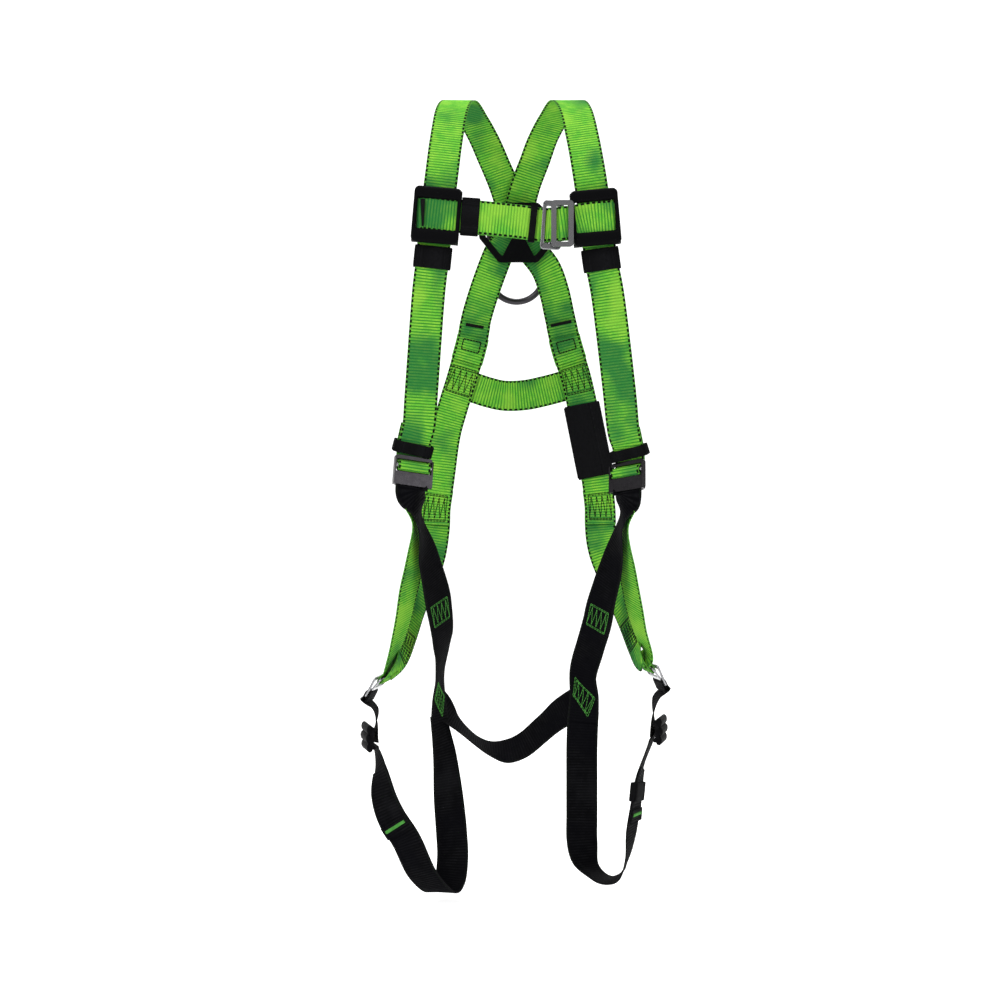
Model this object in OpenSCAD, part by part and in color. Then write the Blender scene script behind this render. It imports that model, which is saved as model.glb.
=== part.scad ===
// Full-body harness: two shoulder straps that cross in a back plate, chest
// strap, hip loops, leg loops and seat strap. Front is -Y, up is +Z, and
// "_l" is the side of -X, as seen from the front. The origin is midway
// between the tops of the two shoulder straps.

/* [Webbing] */
// Width of the main webbing
web_w = 45; // [43:0.5:46]
// Thickness of one layer of webbing
web_t = 1.8; // [1.4:0.1:2]
// Rings of each swept strap between two route points
web_steps = 3; // [2:1:4]
// Thickness of the elastic keepers
elastic_t = 1.4; // [1:0.1:1.6]

/* [Chest sliders] */
// Outer width of a chest slider
slider_w = 63; // [62:1:64]
// Outer height of a chest slider
slider_h = 74; // [72:1:76]
// Height of a slider's top or bottom bar
slider_bar = 11; // [10:0.5:11]

/* [Back plate and ring] */
// Width of the back plate
plate_w = 116; // [112:1:120]
// Height of the back plate
plate_h = 88; // [84:1:90]
// Outer width of the D-ring
ring_w = 90; // [88:1:92]
// Thickness of the D-ring's wire
ring_d = 9.5; // [8:0.5:10]

/* [Buckles] */
// Width of the chest buckle's rear frame
chest_frame_w = 28; // [27:1:29]
// Width of the chest buckle's front link
chest_plate_w = 30; // [29:1:31]
// Height of the chest buckle
chest_buckle_h = 66; // [64:1:68]
// Thickness of the stamped steel
steel_t = 3; // [2.5:0.1:3.2]
// Width of a hip buckle link
link_w = 58; // [57:1:60]
// Height of a hip buckle's outer link
link_h = 32; // [31:1:33]
// Height of a hip buckle's inner link
link_plate_h = 22; // [21:0.5:23]
// Thickness of the hip links
link_t = 2.6; // [2.4:0.1:2.8]
// Width of a shoulder adjuster
adjuster_w = 54; // [53:1:56]
// Height of a shoulder adjuster
adjuster_h = 42; // [40:1:43]

/* [Hidden] */
$fn = 40;

lime = [0.42, 0.78, 0.22];
ink = [0.07, 0.07, 0.08];
steel = [0.62, 0.62, 0.64];
dark_steel = [0.36, 0.37, 0.39];
corner_r = 6;
layer = 3.3;
chest_bar_y = 6.2;
link_bar = 6;

// Places of the hard parts: where the middle is, then turn, pitch and roll
slider_l = [[-107, -118, -183], [0, 0, 5]];
slider_r = [[106, -118, -186], [0, 0, -5]];
plate_at = [5, 104, -169];
ring_at = [3, 124, -153];
ring_drop = 76;
ring_lean = 13;
chest_frame = [[47.5, -129, -196], [0, 0, -86]];
chest_plate = [[61, -142, -196], [0, 0, -90]];
adjuster_l = [[-140, -108, -526], [20, -12, 8]];
adjuster_r = [[151, -108, -532], [-38, -12, -8]];
adjuster_bar_y = -4.2;
adjuster_bar_z = 6;
pouch = [[109.5, 107.2, -476], [0, -6, -11]];
hip_frame_pose_l = [[-198, -5, -825], [80, 29, 0]];
hip_plate_pose_l = [[-190, -5, -822], [80, 41, 0]];
hip_frame_pose_r = [[199, -5, -809], [-80, 24, 0]];
hip_plate_pose_r = [[192, -5, -807], [-80, 38, 0]];
leg_slider_pose_l = [[-203, -18, -896], [-76, 0, 0]];
leg_slider_pose_r = [[199, -18, -886], [76, 0, 0]];

// Folds of webbing round a bar, as [y, z] in the hard part's own frame
adjuster_fold = [[6.6, 21], [4.8, 8], [0.8, 0.8], [-4, -0.8], [-8, 2], [-8.6, 6.5],
    [-6, 11], [1.2, 13.2], [3.2, 16.5], [3.6, 21]];
strap_fold = [[3.4, -21], [3.3, -18], [2.2, -14.9], [0, -14], [-2.2, -14.9],
    [-3.3, -18], [-3.4, -29]];
plate_fold = [[3.2, 20], [3.2, 13], [3.1, 6], [2.2, 3.2], [0, 2], [-2.2, 3.2],
    [-3.1, 6], [-3.2, 13], [-3.2, 20]];
frame_fold = [[3.2, -24], [3.2, -17], [3.1, -11], [2.2, -8.2], [0, -7], [-2.2, -8.2],
    [-3.1, -11], [-3.2, -17], [-3.4, -24]];
chest_fold = [[3, 22], [2.9, 12], [2.2, 8], [-1.6, 4.4], [-3.8, 3], [-4.2, 0],
    [-3.4, -3.4], [0, -5.6], [3.6, -4.6], [5.4, -1], [5.8, 6], [5.8, 16]];

// Routes. Each point is [x, y, z, a, b]: a place on the strap's middle line,
// the compass angle of its width, 0 along +X and 90 along +Y, and the angle
// of the width above the level, 0 where it is left out.
shoulder_l = concat([[-134, -103, -464, 8], [-139.5, -99.6, -486, 14]],
    fold(adjuster_l, adjuster_fold), [
    [-137, -107, -486, 12], [-131, -112, -462, 6], [-128, -113, -420, 2], [-119, -115, -295, 0],
    [-113, -115, -240, 0], [-107, -115, -180, 0], [-101, -115, -130, 2],
    [-95, -92, -74, 3], [-88, -56, -24, 3], [-78, 0, 0, 2], [-62, 48, -13, -6],
    [-46, 78, -36, -10], [-31, 99, -66, -8], [-16, 117, -98, -4],
    [-5, 129.5, -130, 0], [3, 136.5, -153, 0], [12, 126, -171, 0],
    [19, 120, -184, 0], [28, 115.6, -197, 0], [46, 112, -222, -2], [58, 112, -255, -4],
    [67, 113, -295, -4], [76, 114, -335, -3], [91, 114, -385, -2],
    [102, 111, -435, -2], [110, 107, -478, -2], [120, 101, -530, 0],
    [125, 96, -572, 0]]);
shoulder_r = concat([[146, -103.5, -470, -16], [152, -100.4, -492, -28]],
    fold(adjuster_r, adjuster_fold), [
    [150, -107.5, -492, -26], [144, -112, -468, -16], [138, -113, -410, -8], [124, -115, -295, -3],
    [114, -115, -240, 0], [106, -115, -180, 0], [99, -115, -130, -2],
    [91, -92, -74, -3], [82, -56, -24, -3], [71, 0, 0, -2], [56, 48, -13, 6],
    [41, 80, -36, 10], [29, 97, -66, 8], [16, 113, -98, 4],
    [7, 124, -130, 0], [1, 132, -153, 0], [-8, 121.4, -171, 0],
    [-15, 115, -185, 0], [-24, 112.8, -199, 0], [-34, 112, -224, 2], [-46, 112, -258, 4],
    [-57, 113, -295, 4], [-64, 114, -332, 3], [-78, 114, -382, 2],
    [-92, 111, -428, 2], [-103, 107, -470, 2], [-111, 101, -530, 0],
    [-117, 96, -574, 0]]);
chest_l = concat([
    [-114, -121.5, -181, 0, 90], [-125, -121.5, -180, 0, 90],
    [-131.4, -122.2, -180, 0, 90], [-133.1, -125.5, -180, 0, 90],
    [-131.2, -129, -180, 0, 90], [-120, -129.5, -180, 0, 90],
    [-85, -129.5, -184, 0, 90], [-50, -130, -186, 0, 90], [-10, -130, -190, 0, 90],
    [10, -128, -192, 0, 90]], fold(chest_frame, chest_fold), [
    [10, -124, -192, 0, 90], [-30, -125.8, -188, 0, 90], [-72, -125.6, -185, 0, 90]]);
chest_r = [
    [72, -129.6, -195, 0, 90], [64, -131.6, -195, 0, 90], [57, -132.4, -196, 0, 90],
    [53.2, -135.8, -196, 0, 90], [57, -139.2, -196, 0, 90], [64, -138.8, -195, 0, 90],
    [72, -135.6, -194, 0, 90], [80, -132.2, -192, 0, 90], [92, -130, -189, 0, 90],
    [106, -129.5, -187, 0, 90], [120, -129.5, -186, 0, 90], [130.2, -129, -185, 0, 90],
    [132.1, -125.5, -185, 0, 90], [130.4, -122.2, -185, 0, 90],
    [124, -121.5, -185, 0, 90], [112, -121.5, -186, 0, 90]];
sub_back = [
    [-94, 117.2, -391, 0, 90], [-66, 117.6, -396, 0, 90], [-40, 120, -404, 0, 90],
    [-15, 123, -409, 0, 90], [15, 123, -408, 0, 90], [45, 121, -402, 0, 90],
    [72, 117.6, -395, 0, 90], [104, 117.2, -386, 0, 90]];
leg_upper_l = concat(fold(adjuster_l, strap_fold), [
    [-133.5, -109, -569, 50], [-130.5, -98, -593, 73], [-121, -71, -641, 58],
    [-111, -40, -689, 48], [-106, -15, -722, 48], [-103, 6, -754, 56],
    [-104, 23, -780, 68], [-108, 36, -815, 78], [-110, 42, -848, 68],
    [-109, 44, -883, 60]]);
leg_upper_r = concat(fold(adjuster_r, strap_fold), [
    [144.5, -108, -572, -58], [142.5, -96, -595, -77], [133, -69, -648, -54],
    [120, -40, -703, -42], [114, -16, -738, -38], [106, 8, -772, -38],
    [97, 32, -812, -36], [99, 41, -848, -24], [97, 44, -884, -8]]);
hip_l = concat([for (k = [1 : 2]) beside(leg_upper_l, 6 + k, layer + 1.6 * k)], [
    [-139, -78, -645, 62], [-148, -58, -690, 60], [-159, -34, -742, 66],
    [-174, -14, -790, 76]], fold(hip_plate_pose_l, plate_fold), [
    [-161, 10, -788, 68], [-151, 24, -755, 64], [-141, 42, -716, 58],
    [-130, 61, -675, 42], [-122, 78, -640, 22], [-118, 92, -604, 6],
    [-117, 98.5, -576, 2], [-113, 102, -548, 0]]);
hip_r = concat([for (k = [1 : 2]) beside(leg_upper_r, 6 + k, layer + 1.6 * k)], [
    [150, -78, -645, -66], [160, -56, -695, -64], [170, -34, -738, -68],
    [184, -14, -778, -78]], fold(hip_plate_pose_r, plate_fold), [
    [170, 10, -776, -70], [158, 26, -740, -66], [144, 46, -698, -58],
    [134, 64, -662, -42], [127, 80, -628, -18], [125, 92, -600, -4],
    [125, 98.5, -574, -2], [122, 102, -548, 0]]);
pelvic = [
    [-113.4, 43, -845, 66, 66], [-106, 66, -862, 74, 58], [-86, 72, -888, 90, 24],
    [-58, 75, -914, 90, 12], [-36, 82, -928, 90, 20], [-12, 86, -932, 90, 42],
    [13, 84, -922, 90, 52], [40, 77, -898, 90, 62], [62, 65.5, -877, 90, 74],
    [84, 55, -861, 90, 84], [108, 45.6, -846, 90, 86]];
leg_l = [
    [-108, 45, -890, 58], [-105, 47, -912, 52], [-101, 48, -939, 42],
    [-96, 48, -995, 20], [-92, 46, -1040, 4], [-90, 38, -1078, 0],
    [-94, 18, -1108, -4], [-106, -12, -1115, -10], [-130, -40, -1084, -14],
    [-151, -52, -1036, -14], [-171, -52, -1004, -22], [-183, -46, -974, -40],
    [-189, -34, -940, -64], [-194, -23, -918, -76]];
leg_r = [
    [97, 46, -888, -4], [96, 47, -925, 0], [96, 47, -968, 0], [96, 46, -1015, 0],
    [96, 42, -1054, 6], [102, 30, -1086, 40], [124, 6, -1100, 74],
    [146, -16, -1091, 84], [157, -30, -1062, 76], [162, -36, -1020, 66],
    [168, -36, -975, 70], [175, -29, -940, 76], [189, -21, -904, 76]];
tab_l = concat([
    [-196, -18.6, -904, -76], [-197, -17.6, -894, -77], [-196, -14, -876, -84],
    [-199, -8, -858, -94]], fold(hip_frame_pose_l, frame_fold, flip = true));
tab_r = concat([
    [192, -18.4, -896, 76], [193, -17.4, -884, 77], [194, -14, -864, 84],
    [199, -8, -843, 94]], fold(hip_frame_pose_r, frame_fold, flip = true));

// --- helpers -------------------------------------------------------------

function level(p) = len(p) > 4 ? p : concat(p, [0]);
function blend4(a, b, c, d, t) = 0.5 * (2 * b + (c - a) * t
    + (2 * a - 5 * b + 4 * c - d) * t * t + (3 * b - a - 3 * c + d) * t * t * t);
function at(path, i) = level(path[max(0, min(len(path) - 1, i))]);
function smooth(path) = [
    for (i = [0 : len(path) - 2]) for (s = [0 : web_steps - 1])
        blend4(at(path, i - 1), at(path, i), at(path, i + 1), at(path, i + 2),
            s / web_steps),
    level(path[len(path) - 1])];
function place3(p) = [p[0], p[1], p[2]];
function unit(v) = v / norm(v);
function heading(p) = [cos(p[4]) * cos(p[3]), cos(p[4]) * sin(p[3]), sin(p[4])];
function across(h, t) = unit(h - (h * t) * t);
function roll_by(v, r) = [v[0] * cos(r) + v[2] * sin(r), v[1], v[2] * cos(r) - v[0] * sin(r)];
function pitch_by(v, p) = [v[0], v[1] * cos(p) - v[2] * sin(p), v[1] * sin(p) + v[2] * cos(p)];
function turn_by(v, t) = [v[0] * cos(t) - v[1] * sin(t), v[0] * sin(t) + v[1] * cos(t), v[2]];
function turned(v, angles) = turn_by(pitch_by(roll_by(v, angles[2]), angles[1]), angles[0]);

// Route points of a fold, carried from a hard part's frame to the part's
function fold(pose, points, flip = false) =
    let (w = turned([flip ? -1 : 1, 0, 0], pose[1]))
        [for (p = points) concat(pose[0] + turned([0, p[0], p[1]], pose[1]),
            [atan2(w[1], w[0]), asin(w[2])])];

// A route point moved off the strap's face, for a layer sewn on to it
function beside(path, i, gap) =
    let (p = level(path[i]), t = unit(place3(path[i + 1]) - place3(path[i - 1])),
        n = cross(across(heading(p), t), t))
            [p[0] + gap * n[0], p[1] + gap * n[1], p[2] + gap * n[2], p[3], p[4]];

// A flat strap carried along a route, as one closed body.
module ribbon(route, w = web_w, t = web_t) {
    path = smooth(route);
    n = len(path);
    tan = [for (i = [0 : n - 1])
        unit(place3(path[min(n - 1, i + 1)]) - place3(path[max(0, i - 1)]))];
    side = [for (i = [0 : n - 1]) across(heading(path[i]), tan[i])];
    out = [for (i = [0 : n - 1]) cross(side[i], tan[i])];
    points = [for (i = [0 : n - 1])
        for (c = [[-1, -1], [1, -1], [1, 1], [-1, 1]])
            place3(path[i]) + c[0] * side[i] * w / 2 + c[1] * out[i] * t / 2];
    walls = [for (i = [0 : n - 2]) for (k = [0 : 3])
        let (a = 4 * i + k, b = 4 * i + (k + 1) % 4)
            each k == 2 ? [[a, b, a + 4], [b, b + 4, a + 4]]
                : [[a, b, b + 4], [a, b + 4, a + 4]]];
    last = 4 * (n - 1);
    polyhedron(points, concat(walls,
        [[2, 1, 0], [3, 2, 0], [last, last + 1, last + 2], [last, last + 2, last + 3]]));
}

// Puts a part where its pose says: roll, then pitch, then turn
module posed(pose) {
    translate(pose[0]) rotate([0, 0, pose[1][0]]) rotate([pose[1][1], 0, 0])
        rotate([0, pose[1][2], 0]) children();
}

module rounded(w, h, r) {
    hull() for (x = [-1, 1]) for (z = [-1, 1])
        translate([x * (w / 2 - r), z * (h / 2 - r)]) circle(r);
}

// A flat plate in the XZ plane, from y to y + t, with 2D children as outline
module upright(t, y = 0) {
    translate([0, y + t, 0]) rotate([90, 0, 0]) linear_extrude(t) children();
}

// A rectangular tube of elastic around layers that are w wide and deep
module band(w, deep, h) {
    difference() {
        cube([w + 2 * elastic_t, deep + 2 * elastic_t, h], center = true);
        cube([w, deep, h + 1], center = true);
    }
}

// --- chest ---------------------------------------------------------------

// Front frame with a window, end posts, and two bars behind the strap
module chest_slider(pose) {
    color(ink) posed(pose) {
        difference() {
            upright(4, -9.5) rounded(slider_w, slider_h, corner_r);
            upright(6, -10.5) rounded(slider_w - 4, slider_h - 2 * slider_bar, 2);
        }
        for (s = [-1, 1]) {
            translate([s * (slider_w / 2 - 10), -7.5, 0])
                cube([3, 4, slider_h - 2 * slider_bar + 2], center = true);
            translate([s * (slider_w / 2 - 3), 6.4, 0]) cube([6, 3, slider_h - 8], center = true);
            for (z = [-1, 1])
                translate([s * (slider_w / 2 - 2), -0.5, z * (slider_h / 2 - slider_bar / 2)])
                    cube([4, 11, slider_bar - 3], center = true);
            translate([0, 6.4, s * (slider_h / 2 - slider_bar / 2)])
                cube([slider_w, 3, slider_bar - 3], center = true);
        }
    }
}
module chest_slider_l() { chest_slider(slider_l); }
module chest_slider_r() { chest_slider(slider_r); }
module chest_strap_l() { color(lime) ribbon(chest_l); }
module chest_strap_r() { color(lime) ribbon(chest_r); }
module chest_keeper_l() {
    color(ink) posed([[-62, -127.9, -185], [0, 0, 94]]) band(web_w + 3, 7.2, 24);
}
module chest_keeper_r() {
    color(ink) posed([[22, -125.8, -193.3], [0, 0, 96]]) band(web_w + 3, 7.6, 9);
}
module shoulder_keeper_l() {
    color(ink) posed([[-112.6, -115, -237.4], [0, 0, 6]]) band(web_w + 3, 5, 30);
}
module shoulder_keeper_r() {
    color(ink) posed([[114, -115, -240.4], [0, 0, -8]]) band(web_w + 3, 5, 30);
}

// Stamped frame with three upright bars
module chest_buckle_frame() {
    color(steel) posed(chest_frame) difference() {
        upright(steel_t, -steel_t / 2) rounded(chest_buckle_h, chest_frame_w, 5);
        for (s = [-1, 1]) translate([0, 0, s * 5.7])
            upright(steel_t + 2, -steel_t) rounded(50, 6.4, 1.5);
    }
}

// Front link with its strap bar set back behind the rim
module chest_buckle_plate() {
    color(steel) posed(chest_plate) {
        difference() {
            upright(steel_t, -steel_t / 2) rounded(chest_buckle_h - 4, chest_plate_w, 5);
            upright(steel_t + 2, -steel_t) rounded(49, chest_plate_w - 14, 2);
        }
        translate([0, chest_bar_y, 4.2]) rotate([0, 90, 0])
            cylinder(h = 54, d = 3.4, center = true);
        for (s = [-1, 1]) translate([s * 26, chest_bar_y / 2, 4.2])
            cube([3, chest_bar_y, 4], center = true);
    }
}

// --- shoulder adjusters --------------------------------------------------

// Stamped plate with a window for the sliding bar and a slot for the strap
module adjuster_frame(pose) {
    color(dark_steel) posed(pose) difference() {
        union() {
            upright(steel_t, -steel_t / 2) rounded(adjuster_w, adjuster_h, 5);
            for (s = [-1, 1]) translate([s * (adjuster_w / 2 - 1), -3.5, 5])
                cube([2, 6, 22], center = true);
        }
        translate([0, 0, 6.6]) upright(steel_t + 2, -steel_t) rounded(48, 18.8, 3);
        translate([0, 0, -14.2]) upright(steel_t + 2, -steel_t) rounded(47.5, 4.4, 2);
    }
    color(dark_steel) posed(pose) difference() {
        translate([0, -3.2, -12]) cube([adjuster_w, 7.2, 18], center = true);
        translate([0, 0.3, -12]) cube([adjuster_w - 3.6, 11, 20], center = true);
    }
}
module adjuster_bar(pose) {
    color(steel) posed(pose) translate([0, adjuster_bar_y, adjuster_bar_z])
        rotate([0, 90, 0]) cylinder(h = adjuster_w - 4.6, d = 5, center = true);
}
module adjuster_frame_l() { adjuster_frame(adjuster_l); }
module adjuster_frame_r() { adjuster_frame(adjuster_r); }
module adjuster_bar_l() { adjuster_bar(adjuster_l); }
module adjuster_bar_r() { adjuster_bar(adjuster_r); }
module adjuster_keeper_l() {
    color(ink) posed([[-140, -101.6, -494], [14, 15, 12]]) band(web_w + 7, 13.4, 16);
}
module adjuster_keeper_r() {
    color(ink) posed([[153, -102.3, -500.4], [-28, 15, -12]]) band(web_w + 7, 13.2, 15);
}

// --- back plate and ring -------------------------------------------------

module plate_outline(inset = 0) {
    offset(r = 8) offset(delta = -8 - inset) polygon([
        [-plate_w / 2, 16], [-plate_w / 2, -8], [-plate_w / 4, -plate_h / 2],
        [plate_w / 4, -plate_h / 2], [plate_w / 2, -8], [plate_w / 2, 16],
        [plate_w / 4, plate_h / 2], [-plate_w / 4, plate_h / 2]]);
}

// Rim with two side windows and a waisted post that carries the ring's bar
module dorsal_plate() {
    color(ink) translate(plate_at) {
        difference() {
            upright(5) plate_outline();
            upright(7, -1) difference() {
                plate_outline(9);
                polygon([[-22, 40], [-9, 14], [-9, -8], [-26, -40], [26, -40],
                    [9, -8], [9, 14], [22, 40]]);
            }
        }
        difference() {
            translate([-2, 12, 16]) cube([26, 15, 14], center = true);
            translate([-2, ring_at[1] - plate_at[1], 16]) rotate([0, 90, 0])
                cylinder(h = 32, d = ring_d + 1, center = true);
            translate([-2, 24, 16]) cube([32, 9, 22], center = true);
        }
    }
}

module dorsal_ring() {
    r = (ring_w - ring_d) / 2;
    color(dark_steel) translate(ring_at) rotate([ring_lean, 0, 0]) {
        rotate([0, 90, 0]) cylinder(h = 2 * r, d = ring_d, center = true);
        for (s = [-1, 1]) translate([s * r, 0, 0]) {
            sphere(d = ring_d);
            translate([0, 0, -ring_drop]) cylinder(h = ring_drop, d = ring_d);
        }
        translate([0, 0, -ring_drop]) rotate([90, 0, 0]) rotate([0, 0, 180])
            rotate_extrude(angle = 180) translate([r, 0]) circle(d = ring_d);
    }
}

// --- back ----------------------------------------------------------------

module sub_back_strap() { color(lime) ribbon(sub_back); }
// Textile sleeve sewn round the right back strap, with a flap on its front
module label_pouch() {
    color(ink) posed(pouch) band(web_w + 5, 5.4, 110);
}
module label_flap() {
    color(ink) posed(pouch) translate([-8, -5.2, 0]) cube([36, 1.4, 108], center = true);
}

// --- hips ----------------------------------------------------------------

module hip_loop_l() { color(lime) ribbon(hip_l); }
module hip_loop_r() { color(lime) ribbon(hip_r); }

module link(pose, h) {
    color(steel) posed(pose) difference() {
        upright(link_t, -link_t / 2) rounded(link_w, h, 4);
        upright(link_t + 2, -link_t) rounded(49, h - 2 * link_bar, 2);
    }
}
module hip_frame_l() { link(hip_frame_pose_l, link_h); }
module hip_plate_l() { link(hip_plate_pose_l, link_plate_h); }
module hip_frame_r() { link(hip_frame_pose_r, link_h); }
module hip_plate_r() { link(hip_plate_pose_r, link_plate_h); }

// --- legs ----------------------------------------------------------------

module leg_strap_l() { color(ink) ribbon(leg_upper_l); }
module leg_strap_r() { color(ink) ribbon(leg_upper_r); }
module sub_pelvic_strap() { color(ink) ribbon(pelvic); }
module leg_loop_l() { color(ink) ribbon(leg_l); }
module leg_loop_r() { color(ink) ribbon(leg_r); }
module leg_tab_l() { color(ink) ribbon(tab_l); }
module leg_tab_r() { color(ink) ribbon(tab_r); }

// Two round end bars, a middle bar set out from them, and side rails
module leg_slider(pose) {
    color(ink) posed(pose) {
        for (z = [-1, 1]) translate([0, -0.5, z * 12]) rotate([0, 90, 0])
            cylinder(h = 52, d = 6, center = true);
        translate([0, -6, 0]) rotate([0, 90, 0]) cylinder(h = 52, d = 7, center = true);
        for (s = [-1, 1]) translate([s * 25, -3, 0]) cube([3, 5, 25], center = true);
    }
}
module leg_slider_l() { leg_slider(leg_slider_pose_l); }
module leg_slider_r() { leg_slider(leg_slider_pose_r); }
module leg_keeper_r() {
    color(ink) posed([[169.4, -35.8, -970], [70, 4, 7]]) band(web_w + 5, 6.8, 26);
}

color(lime) ribbon(shoulder_l);  // shoulder_strap_l
color(lime) ribbon(shoulder_r);  // shoulder_strap_r
chest_strap_l();
chest_strap_r();
chest_slider_l();
chest_slider_r();
chest_keeper_l();
chest_keeper_r();
shoulder_keeper_l();
shoulder_keeper_r();
chest_buckle_frame();
chest_buckle_plate();
adjuster_frame_l();
adjuster_frame_r();
adjuster_bar_l();
adjuster_bar_r();
adjuster_keeper_l();
adjuster_keeper_r();
dorsal_plate();
dorsal_ring();
sub_back_strap();
label_pouch();
label_flap();
hip_loop_l();
hip_loop_r();
hip_frame_l();
hip_frame_r();
hip_plate_l();
hip_plate_r();
leg_strap_l();
leg_strap_r();
sub_pelvic_strap();
leg_loop_l();
leg_loop_r();
leg_tab_l();
leg_tab_r();
leg_slider_l();
leg_slider_r();
leg_keeper_r();
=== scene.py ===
"""Full-body harness: webbing, sewing, elastic keepers, moulded and stamped
fittings, and the stage they are shown on. Front is -Y, up is +Z, in metres."""

import bpy
import numpy as np
from bpy.props import FloatProperty, FloatVectorProperty, PointerProperty
from bpy.types import NodeSocket, Operator, Panel, PropertyGroup
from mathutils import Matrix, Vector


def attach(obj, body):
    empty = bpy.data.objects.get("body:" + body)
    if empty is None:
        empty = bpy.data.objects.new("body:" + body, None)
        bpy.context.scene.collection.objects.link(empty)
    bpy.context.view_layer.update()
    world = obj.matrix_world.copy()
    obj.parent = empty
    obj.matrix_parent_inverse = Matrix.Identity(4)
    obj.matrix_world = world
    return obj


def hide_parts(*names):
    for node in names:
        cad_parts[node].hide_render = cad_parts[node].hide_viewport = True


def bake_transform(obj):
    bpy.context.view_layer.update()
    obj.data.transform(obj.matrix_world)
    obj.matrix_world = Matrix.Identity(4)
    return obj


bl_info = {
    "name": "Full-body harness",
    "version": (1, 0, 0),
    "blender": (4, 5, 0),
    "location": "3D View > Sidebar > Harness",
    "description": "Builds the webbing and fittings of a full-body harness",
    "category": "Add Mesh",
}

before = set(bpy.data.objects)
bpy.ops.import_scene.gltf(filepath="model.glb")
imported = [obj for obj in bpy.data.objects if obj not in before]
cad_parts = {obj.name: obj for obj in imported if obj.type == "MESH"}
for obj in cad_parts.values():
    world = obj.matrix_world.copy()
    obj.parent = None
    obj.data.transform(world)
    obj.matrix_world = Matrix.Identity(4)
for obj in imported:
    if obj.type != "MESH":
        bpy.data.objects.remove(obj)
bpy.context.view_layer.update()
MM = 0.001

# Places of the hard parts, in millimetres: the middle, then turn, pitch, roll
ADJUSTER = {
    "l": ((-140, -108, -526), (20, -12, 8)),
    "r": ((151, -108, -532), (-38, -12, -8)),
}
CHEST_FRAME = ((47.5, -129, -196), (0, 0, -86))
POUCH = ((109.5, 107.2, -476), (0, -6, -11))
HIP_FRAME = {
    "l": ((-198, -5, -825), (80, 29, 0)),
    "r": ((199, -5, -809), (-80, 24, 0)),
}
HIP_PLATE = {
    "l": ((-190, -5, -822), (80, 41, 0)),
    "r": ((192, -5, -807), (-80, 38, 0)),
}
RING = ((3, 124, -153), (0, 13, 0))

# Folds of webbing round a bar, as (y, z) in the hard part's own frame
ADJUSTER_FOLD = [
    (6.6, 21), (4.8, 8), (0.8, 0.8), (-4, -0.8), (-8, 2), (-8.6, 6.5),
    (-6, 11), (1.2, 13.2), (3.2, 16.5), (3.6, 21),
]
STRAP_FOLD = [
    (3.4, -21), (3.3, -18), (2.2, -14.9), (0, -14), (-2.2, -14.9),
    (-3.3, -18), (-3.4, -29),
]
PLATE_FOLD = [
    (3.2, 20), (3.2, 13), (3.1, 6), (2.2, 3.2), (0, 2), (-2.2, 3.2),
    (-3.1, 6), (-3.2, 13), (-3.2, 20),
]
FRAME_FOLD = [
    (3.2, -24), (3.2, -17), (3.1, -11), (2.2, -8.2), (0, -7), (-2.2, -8.2),
    (-3.1, -11), (-3.2, -17), (-3.4, -24),
]
CHEST_FOLD = [
    (3, 22), (2.9, 12), (2.2, 8), (-1.6, 4.4), (-3.8, 3), (-4.2, 0),
    (-3.4, -3.4), (0, -5.6), (3.6, -4.6), (5.4, -1), (5.8, 6), (5.8, 16),
]


# --- Routes ----------------------------------------------------------------
# A route point is (x, y, z, a, b) in millimetres and degrees: a place on the
# strap's middle line, the compass angle of its width and that width's rise.


def turned(points, angles):
    """Points rolled about Y, then pitched about X, then turned about Z."""
    turn, pitch, roll = np.radians(angles)
    x, y, z = np.asarray(points, float).T
    x, z = x * np.cos(roll) + z * np.sin(roll), z * np.cos(roll) - x * np.sin(roll)
    y, z = y * np.cos(pitch) - z * np.sin(pitch), y * np.sin(pitch) + z * np.cos(pitch)
    x, y = x * np.cos(turn) - y * np.sin(turn), x * np.sin(turn) + y * np.cos(turn)
    return np.stack([x, y, z], 1)


def posed(grid, pose):
    """A grid in a hard part's own millimetres, put in its place, in metres."""
    place, angles = pose
    spots = turned(grid.reshape(-1, 3), angles) + np.array(place)
    return (spots * MM).reshape(grid.shape)


def fold(pose, points, flip=False):
    """Route points of a fold, carried from a hard part's frame to the object's."""
    place, angles = pose
    wide = turned([(-1 if flip else 1, 0, 0)], angles)[0]
    a, b = np.degrees([np.arctan2(wide[1], wide[0]), np.arcsin(wide[2])])
    spots = turned([(0, y, z) for y, z in points], angles) + np.array(place)
    return [(*spot, a, b) for spot in spots]


def level(route):
    """The route as rows of five numbers, with a rise of 0 where none is given."""
    return np.array([[*p, 0][:5] if len(p) == 4 else p for p in route], float)


def unit(v):
    """Each vector divided by its own length."""
    return v / np.linalg.norm(v, axis=-1, keepdims=True)


def headings(rows):
    """Direction of the width at each row, from its compass angle and its rise."""
    a, b = np.radians(rows[:, 3]), np.radians(rows[:, 4])
    return np.stack([np.cos(b) * np.cos(a), np.cos(b) * np.sin(a), np.sin(b)], 1)


def beside(route, picks, gaps):
    """Chosen route points moved off the strap's face, for a layer sewn on to it."""
    rows = level(route)
    tangent = unit(rows[[i + 1 for i in picks], :3] - rows[[i - 1 for i in picks], :3])
    wide = headings(rows[list(picks)])
    side = unit(wide - (wide * tangent).sum(1, keepdims=True) * tangent)
    moved = rows[list(picks)].copy()
    moved[:, :3] += np.cross(side, tangent) * np.array(gaps, float)[:, None]
    return [tuple(p) for p in moved]


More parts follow.
